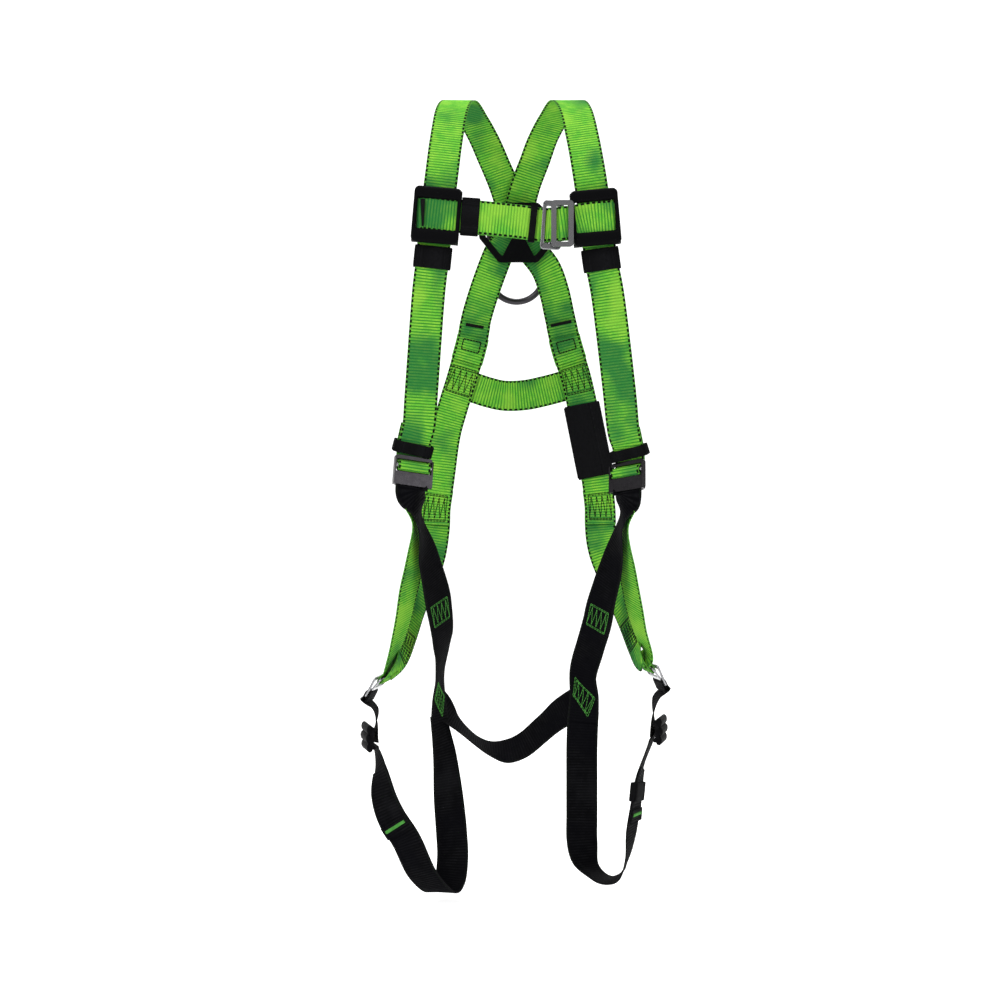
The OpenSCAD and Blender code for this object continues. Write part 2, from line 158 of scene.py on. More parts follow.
SHOULDER_L = [
    (-134, -103, -464, 8), (-139.5, -99.6, -486, 14),
    *fold(ADJUSTER["l"], ADJUSTER_FOLD),
    (-137, -107, -486, 12), (-131, -112, -462, 6), (-128, -113, -420, 2),
    (-119, -115, -295, 0), (-113, -115, -240, 0), (-107, -115, -180, 0),
    (-101, -115, -130, 2), (-95, -92, -74, 3), (-88, -56, -24, 3), (-78, 0, 0, 2),
    (-62, 48, -13, -6), (-46, 78, -36, -10), (-31, 99, -66, -8), (-16, 117, -98, -4),
    (-5, 129.5, -130, 0), (3, 136.5, -153, 0), (12, 126, -171, 0), (19, 120, -184, 0),
    (28, 115.6, -197, 0),
    (46, 112, -222, -2), (58, 112, -255, -4), (67, 113, -295, -4), (76, 114, -335, -3),
    (91, 114, -385, -2), (102, 111, -435, -2), (110, 107, -478, -2), (120, 101, -530, 0),
    (125, 96, -572, 0), (125.5, 88.6, -599, 0),
]
SHOULDER_R = [
    (146, -103.5, -470, -16), (152, -100.4, -492, -28),
    *fold(ADJUSTER["r"], ADJUSTER_FOLD),
    (150, -107.5, -492, -26), (144, -112, -468, -16), (138, -113, -410, -8),
    (124, -115, -295, -3), (114, -115, -240, 0), (106, -115, -180, 0),
    (99, -115, -130, -2), (91, -92, -74, -3), (82, -56, -24, -3), (71, 0, 0, -2),
    (56, 48, -13, 6), (41, 80, -36, 10), (29, 97, -66, 8), (16, 113, -98, 4),
    (7, 124, -130, 0), (1, 132, -153, 0), (-8, 121.4, -171, 0), (-15, 115, -185, 0),
    (-24, 112.8, -199, 0), (-34, 112, -224, 2), (-46, 112, -258, 4), (-57, 113, -295, 4),
    (-64, 114, -332, 3), (-78, 114, -382, 2), (-92, 111, -428, 2), (-103, 107, -470, 2),
    (-111, 101, -530, 0), (-117, 96, -574, 0), (-118.6, 89, -600, 0),
]
CHEST_L = [
    (-114, -121.5, -181, 0, 90), (-125, -121.5, -180, 0, 90),
    (-131.4, -122.2, -180, 0, 90), (-133.1, -125.5, -180, 0, 90),
    (-131.2, -129, -180, 0, 90), (-120, -129.5, -180, 0, 90),
    (-85, -129.5, -184, 0, 90), (-50, -130, -186, 0, 90), (-10, -130, -190, 0, 90),
    (10, -128, -192, 0, 90),
    *fold(CHEST_FRAME, CHEST_FOLD),
    (10, -124, -192, 0, 90), (-30, -125.8, -188, 0, 90), (-72, -125.6, -185, 0, 90),
]
CHEST_R = [
    (72, -129.6, -195, 0, 90), (64, -131.6, -195, 0, 90), (57, -132.4, -196, 0, 90),
    (53.2, -135.8, -196, 0, 90), (57, -139.2, -196, 0, 90), (64, -138.8, -195, 0, 90),
    (72, -135.6, -194, 0, 90), (80, -132.2, -192, 0, 90), (92, -130, -189, 0, 90),
    (106, -129.5, -187, 0, 90), (120, -129.5, -186, 0, 90), (130.2, -129, -185, 0, 90),
    (132.1, -125.5, -185, 0, 90), (130.4, -122.2, -185, 0, 90),
    (124, -121.5, -185, 0, 90), (112, -121.5, -186, 0, 90),
]
SUB_BACK = [
    (-94, 117.2, -391, 0, 90), (-66, 117.6, -396, 0, 90), (-40, 120, -404, 0, 90),
    (-15, 123, -409, 0, 90), (15, 123, -408, 0, 90), (45, 121, -402, 0, 90),
    (72, 117.6, -395, 0, 90), (104, 117.2, -386, 0, 90),
]
LEG_UPPER_L = [
    *fold(ADJUSTER["l"], STRAP_FOLD),
    (-133.5, -109, -569, 62), (-130.5, -98, -593, 84), (-121, -71, -641, 60),
    (-111, -40, -689, 48), (-106, -15, -722, 48), (-103, 6, -754, 56),
    (-104, 23, -780, 68), (-108, 36, -815, 78), (-110, 42, -848, 68),
    (-109, 44, -883, 60),
]
LEG_UPPER_R = [
    *fold(ADJUSTER["r"], STRAP_FOLD),
    (144.5, -108, -572, -66), (142.5, -96, -595, -87), (133, -69, -648, -57),
    (120, -40, -703, -42), (114, -16, -738, -38), (106, 8, -772, -38),
    (97, 32, -812, -36), (99, 41, -848, -24), (97, 44, -884, -8),
]
HIP_L = [
    *beside(LEG_UPPER_L, (7, 8), (4.9, 6.5)),
    (-139, -78, -645, 62), (-148, -58, -690, 60), (-159, -34, -742, 66),
    (-174, -14, -790, 76),
    *fold(HIP_PLATE["l"], PLATE_FOLD),
    (-161, 10, -788, 68), (-151, 24, -755, 64), (-141, 42, -716, 58),
    (-130, 61, -675, 42), (-122, 78, -640, 22), (-118, 92, -604, 6),
    (-117, 98.5, -576, 2), (-113, 102, -548, 0),
]
HIP_R = [
    *beside(LEG_UPPER_R, (7, 8), (4.9, 6.5)),
    (150, -78, -645, -66), (160, -56, -695, -64), (170, -34, -738, -68),
    (184, -14, -778, -78),
    *fold(HIP_PLATE["r"], PLATE_FOLD),
    (170, 10, -776, -70), (158, 26, -740, -66), (144, 46, -698, -58),
    (134, 64, -662, -42), (127, 80, -628, -18), (125, 92, -600, -4),
    (125, 98.5, -574, -2), (122, 102, -548, 0),
]
PELVIC = [
    (-113.4, 43, -845, 66, 66), (-106, 66, -862, 74, 58), (-86, 72, -888, 90, 24),
    (-58, 75, -914, 90, 12), (-36, 82, -928, 90, 20), (-12, 86, -932, 90, 42),
    (13, 84, -922, 90, 52), (40, 77, -898, 90, 62), (62, 65.5, -877, 90, 74),
    (84, 55, -861, 90, 84), (108, 45.6, -846, 90, 86),
]
LEG_L = [
    (-111.3, 44.6, -872, 62), (-108.6, 45, -890, 58), (-105, 47, -912, 52),
    (-101, 48, -939, 42),
    (-96, 48, -995, 20), (-92, 46, -1040, 4), (-90, 38, -1078, 0),
    (-94, 18, -1108, -4), (-106, -12, -1115, -10), (-130, -40, -1084, -14),
    (-151, -52, -1036, -14), (-171, -52, -1004, -22), (-183, -46, -974, -40),
    (-189, -34, -940, -64), (-194, -23, -918, -76), (-196.5, -22.5, -906, -76),
]
LEG_R = [
    (98.5, 47, -868, -12), (97, 46, -888, -4), (96, 47, -925, 0),
    (96, 47, -968, 0), (96, 46, -1015, 0),
    (96, 42, -1054, 6), (102, 30, -1086, 40), (124, 6, -1100, 74),
    (146, -16, -1091, 84), (157, -30, -1062, 76), (162, -36, -1020, 66),
    (168, -36, -975, 70), (175, -29, -940, 76), (189, -21, -904, 76),
    (192, -22.5, -893, 76),
]
TAB_L = [
    (-196, -18.6, -904, -76), (-197, -17.6, -894, -77), (-196, -14, -876, -84),
    (-199, -8, -858, -94),
    *fold(HIP_FRAME["l"], FRAME_FOLD, flip=True),
]
TAB_R = [
    (192, -18.4, -896, 76), (193, -17.4, -884, 77), (194, -14, -864, 84),
    (199, -8, -843, 94),
    *fold(HIP_FRAME["r"], FRAME_FOLD, flip=True),
]

# Node, route, body, and what the strap hangs from
GREEN_STRAPS = [
    ("shoulder_strap_l", SHOULDER_L, "harness", ["adjuster_frame_l"]),
    ("shoulder_strap_r", SHOULDER_R, "harness", ["adjuster_frame_r"]),
    ("chest_strap_l", CHEST_L, "chest", ["chest_slider_l"]),
    ("chest_strap_r", CHEST_R, "chest", ["chest_slider_r"]),
    ("sub_back_strap", SUB_BACK, "harness", ["shoulder_strap_l"]),
    ("hip_loop_l", HIP_L, "harness", ["leg_strap_l"]),
    ("hip_loop_r", HIP_R, "harness", ["leg_strap_r"]),
]
BLACK_STRAPS = [
    ("leg_strap_l", LEG_UPPER_L, "harness", ["adjuster_frame_l"]),
    ("leg_strap_r", LEG_UPPER_R, "harness", ["adjuster_frame_r"]),
    ("sub_pelvic_strap", PELVIC, "harness", ["leg_strap_l"]),
    ("leg_tab_l", TAB_L, "harness", ["hip_frame_l"]),
    ("leg_tab_r", TAB_R, "harness", ["hip_frame_r"]),
    ("leg_loop_l", LEG_L, None, ["leg_slider_l"]),
    ("leg_loop_r", LEG_R, None, ["leg_slider_r"]),
]


# --- Settings --------------------------------------------------------------


class HarnessSizes(PropertyGroup):
    """Sizes of the webbing and its sewing"""

    web_width: FloatProperty(
        name="Webbing width", description="Width of the straps",
        default=0.045, unit="LENGTH")
    web_thick: FloatProperty(
        name="Webbing thickness", description="Thickness of one layer",
        default=0.0018, unit="LENGTH")
    rib_pitch: FloatProperty(
        name="Rib pitch", description="Distance between two ribs of the weave",
        default=0.0040, unit="LENGTH")
    rib_height: FloatProperty(
        name="Rib height", description="How far a rib stands off the strap",
        default=0.00030, unit="LENGTH")
    thread: FloatProperty(
        name="Thread radius", description="Radius of the sewing thread",
        default=0.00082, unit="LENGTH")
    stitch: FloatProperty(
        name="Stitch length", description="Length of one stitch and its gap",
        default=0.0046, unit="LENGTH")


class HarnessColours(PropertyGroup):
    """Colours of the webbing, thread and steel"""

    green: FloatVectorProperty(
        name="Green", description="Main webbing in plain light",
        subtype="COLOR", default=(0.105, 0.385, 0.032))
    # Painted highlight: the lit colour of the rib crests and of the patches of painted
    # light
    highlight_lime: FloatVectorProperty(
        name="Lime", description="Crests of the main webbing's ribs",
        subtype="COLOR", default=(0.25, 0.50, 0.045))
    # Painted shade in the grooves between the ribs; also the colour of random dark yarns
    shade_and_fleck_green: FloatVectorProperty(
        name="Deep green", description="Grooves between the ribs",
        subtype="COLOR", default=(0.028, 0.165, 0.020))
    black: FloatVectorProperty(
        name="Black", description="Leg webbing, elastic and pouch",
        subtype="COLOR", default=(0.0026, 0.0026, 0.0031))
    thread_green: FloatVectorProperty(
        name="Thread green", description="Sewing thread on black webbing",
        subtype="COLOR", default=(0.065, 0.260, 0.045))
    steel: FloatVectorProperty(
        name="Steel", description="Buckles and bars",
        subtype="COLOR", default=(0.30, 0.30, 0.31))
    dark_steel: FloatVectorProperty(
        name="Dark steel", description="Adjusters and ring",
        subtype="COLOR", default=(0.045, 0.042, 0.047))


# --- Meshes ----------------------------------------------------------------


def closed_mesh(name, verts, faces, corners=None, smooth_angle=50):
    """A mesh object whose faces are turned to point outwards: the volume under
    all its faces, fanned into triangles from each first corner, is made positive."""
    quads = faces[0]
    fans = [(f[0], f[k], f[k + 1]) for f in faces[1] for k in range(1, len(f) - 1)]
    tri = np.concatenate([quads[:, [0, 1, 2]], quads[:, [0, 2, 3]],
                          np.array(fans, int).reshape(-1, 3)])
    p = verts[tri]
    volume = np.einsum("ij,ij->i", p[:, 0], np.cross(p[:, 1], p[:, 2])).sum()
    flip = volume < 0
    listed = quads[:, ::-1].tolist() if flip else quads.tolist()
    listed += [list(f[::-1]) if flip else list(f) for f in faces[1]]
    mesh = bpy.data.meshes.new(name)
    mesh.from_pydata(verts.tolist(), [], listed)
    if corners is not None:
        uv = mesh.uv_layers.new(name="UVMap")
        own = corners[:, ::-1] if flip else corners
        flat = np.zeros((len(mesh.loops), 2), np.float32)
        flat[: own.shape[0] * 4] = own.reshape(-1, 2)
        uv.data.foreach_set("uv", flat.ravel())
    mesh.shade_smooth()
    mesh.set_sharp_from_angle(angle=np.radians(smooth_angle))
    piece = bpy.data.objects.new(name, mesh)
    bpy.context.scene.collection.objects.link(piece)
    return piece


def skin(name, grid, uv=None, ring=False, smooth_angle=50):
    """A closed surface over a grid of points: each row is a closed loop, rows
    follow each other along the piece, and either the last row joins the first
    (ring) or both ends are capped. Uv holds one more column than the grid, and
    one more row on a ring, so that no face crosses a seam."""
    rows, cols = grid.shape[:2]
    count = rows if ring else rows - 1
    i, j = np.meshgrid(np.arange(count), np.arange(cols), indexing="ij")
    i2, j2 = (i + 1) % rows, (j + 1) % cols
    quads = np.stack([i * cols + j, i * cols + j2, i2 * cols + j2, i2 * cols + j], -1)
    caps = []
    if not ring:
        caps = [list(range(cols))[::-1], list(range((rows - 1) * cols, rows * cols))]
    corners = None
    if uv is not None:
        corners = np.stack(
            [uv[i, j], uv[i, j + 1], uv[i + 1, j + 1], uv[i + 1, j]], -2)
        corners = corners.reshape(-1, 4, 2)
    return closed_mesh(
        name, grid.reshape(-1, 3), (quads.reshape(-1, 4), caps), corners, smooth_angle)


def pieces_joined(name, grids):
    """One mesh of many small closed tubes: grids is (tubes, rows, columns, 3)."""
    tubes, rows, cols = grids.shape[:3]
    t, i, j = np.meshgrid(
        np.arange(tubes), np.arange(rows - 1), np.arange(cols), indexing="ij")
    j2 = (j + 1) % cols
    base = t * rows * cols
    quads = np.stack([
        base + i * cols + j, base + i * cols + j2,
        base + (i + 1) * cols + j2, base + (i + 1) * cols + j], -1)
    ends = (np.arange(tubes) * rows * cols)[:, None]
    first = ends + np.arange(cols)[None, ::-1]
    last = ends + (rows - 1) * cols + np.arange(cols)[None]
    return closed_mesh(
        name, grids.reshape(-1, 3),
        (quads.reshape(-1, 4), np.concatenate([first, last]).tolist()), None, 80)


class Strap:
    """A flat strap laid along a route: its middle line, the direction across it
    and the direction off its face, at stations one step of length apart. Between
    route points each value follows a Catmull-Rom curve."""

    STEP = 0.001

    def __init__(self, route):
        rows = level(route)
        rows[:, :3] *= MM
        last = len(rows) - 1
        pick = np.arange(last)
        a, b = rows[np.maximum(pick - 1, 0)], rows[pick]
        c, d = rows[pick + 1], rows[np.minimum(pick + 2, last)]
        t = np.arange(16)[None, :, None] / 16
        a, b, c, d = (v[:, None] for v in (a, b, c, d))
        fine = 0.5 * (2 * b + (c - a) * t + (2 * a - 5 * b + 4 * c - d) * t**2
                      + (3 * b - a - 3 * c + d) * t**3)
        fine = np.concatenate([fine.reshape(-1, 5), rows[-1:]])
        run = np.linalg.norm(np.diff(fine[:, :3], axis=0), axis=1)
        run = np.concatenate([[0], np.cumsum(run)])
        self.length = run[-1]
        self.u = np.linspace(0, self.length, int(self.length / self.STEP) + 1)
        even = np.stack([np.interp(self.u, run, column) for column in fine.T], 1)
        self.centre = even[:, :3]
        tangent = unit(np.gradient(self.centre, axis=0))
        wide = headings(even)
        self.side = unit(wide - (wide * tangent).sum(1, keepdims=True) * tangent)
        self.out = unit(np.cross(self.side, tangent))

    def place(self, u, v, lift):
        """Points u metres along, v metres across and lift metres off the middle."""
        def at(values):
            return np.stack([np.interp(u, self.u, k) for k in values.T], -1)
        return (at(self.centre) + at(self.side) * np.asarray(v)[..., None]
                + at(self.out) * np.asarray(lift)[..., None])

    def front(self, u):
        """1 or -1: which way off the middle faces the front at u."""
        return -np.sign(np.interp(u, self.u, self.out[:, 1]))

    def near(self, x, y, z):
        """How far along the strap the place nearest to (x, y, z) millimetres is."""
        gap = np.linalg.norm(self.centre - np.array([x, y, z]) * MM, axis=1)
        return self.u[gap.argmin()]


def strap_piece(name, strap, sizes, start=0, end=None, lift=0, width=None):
    """Webbing from start to end of a strap's length: columns run round a flat
    section whose edges are half circles, and each face rises and falls as the
    cosine of the length over the rib pitch, half a rib apart front to back and
    fading to nothing in the last three millimetres before an edge."""
    half = (width or sizes.web_width) / 2
    thick = sizes.web_thick / 2
    end = strap.length if end is None else end
    u = np.linspace(start, end, int((end - start) / Strap.STEP) + 2)[:, None]
    inner = np.linspace(-half + 4.5 * MM, half - 4.5 * MM, 5)
    edge = np.array([0.00022, 0.0009, 0.0026]) + 0 * half
    front = np.concatenate([[-half], -half + edge, inner, half - edge[::-1]])
    v = np.concatenate([front, [half], front[:0:-1]])[None, :]
    face = np.concatenate([[0], np.ones(len(front) - 1), [0], -np.ones(len(front) - 1)])
    into = np.clip((half - np.abs(v)) / thick, 0, 1)
    round_edge = np.sqrt(np.clip(1 - (1 - into) ** 2, 0, 1))
    fade = np.clip((half - np.abs(v) - 0.0012) / 0.0025, 0, 1)
    rib = face * sizes.rib_height * fade * np.cos(
        2 * np.pi * u / sizes.rib_pitch + np.pi * (face < 0)) * 0.5
    wave = 0.00025 * np.sin(u / 0.011) * (v / half) * np.abs(v / half)
    height = face * thick * round_edge + rib + wave + lift
    grid = strap.place(u + 0 * v, v + 0 * u, height)
    uv = np.stack(np.broadcast_arrays(u, np.append(v, v[:, :1], axis=1)), -1)
    return skin(name, grid, uv)


def stitched(name, strap, lines, sizes, faces=(1, -1), depth=None, gauge=1.0):
    """Sewing: each line is a list of (u, v) corners in metres. It is cut into
    stitches one stitch length apart, and each is a thin tube that dips into the
    webbing at both ends, as half a sine of its length, on the named faces. Gauge
    scales the thread."""
    thread = sizes.thread * gauge
    depth = sizes.web_thick / 2 if depth is None else depth
    entry, leave, sink = 0.04, 0.94, 0.0001
    starts, ends = [], []
    for line in lines:
        for a, b in zip(line[:-1], line[1:]):
            a, b = np.array(a, float), np.array(b, float)
            count = max(1, int(round(np.linalg.norm(b - a) / sizes.stitch)))
            cuts = np.linspace(0, 1, count + 1)[:, None]
            knots = a + (b - a) * cuts
            starts.append(knots[:-1] + (knots[1:] - knots[:-1]) * entry)
            ends.append(knots[:-1] + (knots[1:] - knots[:-1]) * leave)
    start, end = np.concatenate(starts)[:, None], np.concatenate(ends)[:, None]
    t = np.array([0, 0.12, 0.38, 0.62, 0.88, 1])[None, :, None]
    path = start + (end - start) * t
    rise = np.sin(np.pi * t[..., 0]) ** 0.6
    along = unit(end - start)
    across = np.stack([-along[..., 1], along[..., 0]], -1)
    turn = np.linspace(0, 2 * np.pi, 7)[:-1]
    radius = thread * (0.55 + 0.45 * rise)
    grids = []
    for face in faces:
        uv = path[:, :, None] + across[:, :, None] * (
            radius[..., None] * np.cos(turn))[..., None]
        lift = face * (depth - sink + thread * 0.95 * rise)
        lift = lift[..., None] + radius[..., None] * np.sin(turn)
        grids.append(strap.place(uv[..., 0], uv[..., 1], lift + 0 * uv[..., 0]))
    return pieces_joined(name, np.concatenate(grids))


def w_box(u, v, length, width):
    """Lines of a box of sewing with a W inside: doubled rows across both ends,
    a line along each edge, and a zigzag that runs from end to end as it crosses."""
    a, b = u - length / 2, u + length / 2
    lo, hi = v - width / 2, v + width / 2
    lines = [[(a, lo), (b, lo)], [(a, hi), (b, hi)]]
    for gap in (0, 0.0022):
        lines += [[(a + gap, lo), (a + gap, hi)], [(b - gap, lo), (b - gap, hi)]]
    inset, spread = 0.004, np.linspace(lo, hi, 9)
    lines.append([(a + inset if k % 2 else b - inset, x) for k, x in enumerate(spread)])
    return lines


def bar_tack(u, width, v=0.0, length=0.005, pitch=0.0011):
    """Close-set short stitches along the strap, side by side across it."""
    spots = np.arange(-width / 2, width / 2, pitch) + v
    return [[(u - length / 2, x), (u + length / 2, x)] for x in spots]


def slant_box(u, v, length, width, lean):
    """A slanted four-sided box of sewing, doubled, with a zigzag between its two
    long sides. Lean, 1 or -1, says which way it leans."""
    a, b = length / 2, width / 2 * lean
    top, right = np.array((u - a, v - b * 0.7)), np.array((u, v + b))
    low, left = np.array((u + a, v + b * 0.4)), np.array((u - a * 0.05, v - b))
    lines = [[top, right, low, left, top]]
    inner = [0.86 * p + 0.14 * np.array((u, v)) for p in (top, right, low, left)]
    lines.append([*inner, inner[0]])
    ways = np.linspace(0.08, 0.92, 8)
    lines.append([(top + (right - top) * t) if k % 2 else (left + (low - left) * t)
                  for k, t in enumerate(ways)])
    return lines


def sleeve(name, pose, width, deep, height, wall=0.0014, ribs=0.0, soft=0.0):
    """An elastic or textile tube round a strap. Round it goes a flat oval whose
    corners are half circles of its depth, and its wall section is a closed loop
    with round rims. Ribs swell it along its height by a cosine of the way
    round, and soft waists it as one minus the square of the height."""
    place, angles = pose
    half_w, half_d = width * MM / 2, deep * MM / 2
    steps = 160
    turn = np.linspace(0, 2 * np.pi, steps + 1)[:-1]
    power = 0.22
    cx = np.sign(np.cos(turn)) * np.abs(np.cos(turn)) ** power
    cy = np.sign(np.sin(turn)) * np.abs(np.sin(turn)) ** power
    round_x = (half_w + wall * 0.5) * cx
    round_y = (half_d + wall * 0.5) * cy
    section = np.linspace(0, 2 * np.pi, 21)[:-1]
    sz = np.sign(np.sin(section)) * np.abs(np.sin(section)) ** 0.3
    sr = np.sign(np.cos(section)) * np.abs(np.cos(section)) ** 0.6
    z = height * MM / 2 * sz[:, None] + 0 * turn
    swell = wall / 2 * sr[:, None] * (1 + ribs * np.cos(turn * steps / 4))
    waist = 1 - soft * (1 - (2 * z / (height * MM)) ** 2)
    normal = unit(np.stack([cy * 0 + np.cos(turn) * half_d, np.sin(turn) * half_w], 1))
    x = round_x * (1 + 0 * z) + normal[:, 0] * swell
    y = round_y * waist + normal[:, 1] * swell
    local = np.stack([x, y, z], -1).reshape(-1, 3)
    spots = turned(local, angles) + np.array(place) * MM
    grid = spots.reshape(len(section), steps, 3)
    way = np.linspace(0, 2 * (width + deep) * MM, steps + 1)
    rise = np.append(z[:, 0], z[0, 0])
    uv = np.stack(np.meshgrid(rise, way, indexing="ij"), -1)
    return skin(name, grid, uv, ring=True, smooth_angle=60)


def tube_loop(name, path, radius, sides=20):
    """A round wire along a closed path: rings square to the path's direction."""
    tangent = unit(np.roll(path, -1, axis=0) - np.roll(path, 1, axis=0))
    flat = unit(np.cross(path[1] - path[0], path[len(path) // 3] - path[0]))
    across = unit(np.cross(tangent, flat))
    turn = np.linspace(0, 2 * np.pi, sides + 1)[:-1]
    ring = (across[:, None] * np.cos(turn)[None, :, None]
            + flat[None, None] * np.sin(turn)[None, :, None])
    return skin(name, path[:, None] + ring * radius, ring=True)


def corner_loop(half_w, low, high, radius, count=24):
    """Closed outline of a rounded rectangle: a quarter circle at each corner."""
    bend = np.linspace(0, np.pi / 2, count)
    rows = []
    for k, (x, z) in enumerate(((1, high), (-1, high), (-1, low), (1, low))):
        mx, mz = x * (half_w - radius), z + (radius if z == low else -radius)
        rows.append(np.stack([mx + radius * np.cos(bend + k * np.pi / 2),
                              mz + radius * np.sin(bend + k * np.pi / 2)], 1))
    return np.concatenate(rows)


def window_frame(name, pose, outer, inner, depth):
    """Moulded frame with a window. The wall's section is an oval, so a point is
    the mean of the outer and inner outlines plus half their difference times the
    cosine of the way round the section, and its depth follows the sine."""
    width, height, radius = outer
    out = corner_loop(width / 2, -height / 2, height / 2, radius)
    hole = corner_loop(inner[0] / 2, inner[1], inner[2], inner[3])
    section = np.linspace(0, 2 * np.pi, 29)[:-1][:, None]
    c, s = np.cos(section), np.sin(section)
    c, s = np.sign(c) * np.abs(c) ** 0.55, np.sign(s) * np.abs(s) ** 0.7
    flat = (out + hole)[None] / 2 + (out - hole)[None] / 2 * c[..., None]
    y = sum(depth) / 2 + (depth[1] - depth[0]) / 2 * s + 0 * flat[..., 0]
    local = np.stack([flat[..., 0], y, flat[..., 1]], -1)
    return skin(name, posed(local, pose), ring=True, smooth_angle=60)


def round_bar(name, pose, middle, length, deep, tall):
    """A bar along x with an oval section, its ends drawn in as a quarter ellipse."""
    cap = np.linspace(0, np.pi / 2, 9)
    x = np.concatenate([-length / 2 + 4 * (1 - np.cos(cap)),
                        length / 2 - 4 * (1 - np.cos(cap[::-1]))])
    size = np.concatenate([np.sin(cap), np.sin(cap[::-1])])
    size = 0.25 + 0.75 * size
    turn = np.linspace(0, 2 * np.pi, 33)[:-1]
    local = np.stack([
        x[:, None] + 0 * turn,
        middle[0] + deep * size[:, None] * np.cos(turn),
        middle[1] + tall * size[:, None] * np.sin(turn)], -1)
    return skin(name, posed(local, pose), smooth_angle=60)


# --- Materials -------------------------------------------------------------


class Wiring:
    """Adds nodes to a tree and joins them, so that a material reads as a list."""

    def __init__(self, tree):
        self.tree = tree

    def add(self, kind, values=(), **settings):
        """A node with its settings, its inputs joined to sockets or set to values."""
        node = self.tree.nodes.new(kind)
        for key, value in settings.items():
            setattr(node, key, value)
        pairs = values.items() if isinstance(values, dict) else enumerate(values)
        for key, value in pairs:
            if value is None:
                continue
            if isinstance(value, NodeSocket):
                self.tree.links.new(value, node.inputs[key])
            else:
                node.inputs[key].default_value = value
        return node

    def math(self, operation, *values):
        """One step of arithmetic."""
        return self.add("ShaderNodeMath", values, operation=operation).outputs[0]

    def mix(self, factor, a, b):
        """Colour a turning into b as the factor goes from 0 to 1."""
        node = self.add("ShaderNodeMix", {0: factor, 6: a, 7: b}, data_type="RGBA")
        return node.outputs[2]

    def ramp(self, value, low, high):
        """0 at low and below, 1 at high and above, a straight line between."""
        node = self.add("ShaderNodeMapRange", [value, low, high, 0.0, 1.0])
        return node.outputs[0]

    def noise(self, vector, scale, detail=3.0, rough=0.55):
        """Smooth random values over space."""
        node = self.add("ShaderNodeTexNoise", {
            "Vector": vector, "Scale": scale, "Detail": detail, "Roughness": rough})
        return node.outputs[0]


def group_tree(name, inputs, outputs):
    """A new shader node group with named sockets, and its two end nodes."""
    tree = bpy.data.node_groups.new(name, "ShaderNodeTree")
    for label, kind in inputs:
        tree.interface.new_socket(label, in_out="INPUT", socket_type=kind)
    for label, kind in outputs:
        tree.interface.new_socket(label, in_out="OUTPUT", socket_type=kind)
    wires = Wiring(tree)
    source = wires.add("NodeGroupInput").outputs
    sink = wires.add("NodeGroupOutput").inputs
    return tree, wires, source, sink


COLOUR, NUMBER, VECTOR = "NodeSocketColor", "NodeSocketFloat", "NodeSocketVector"


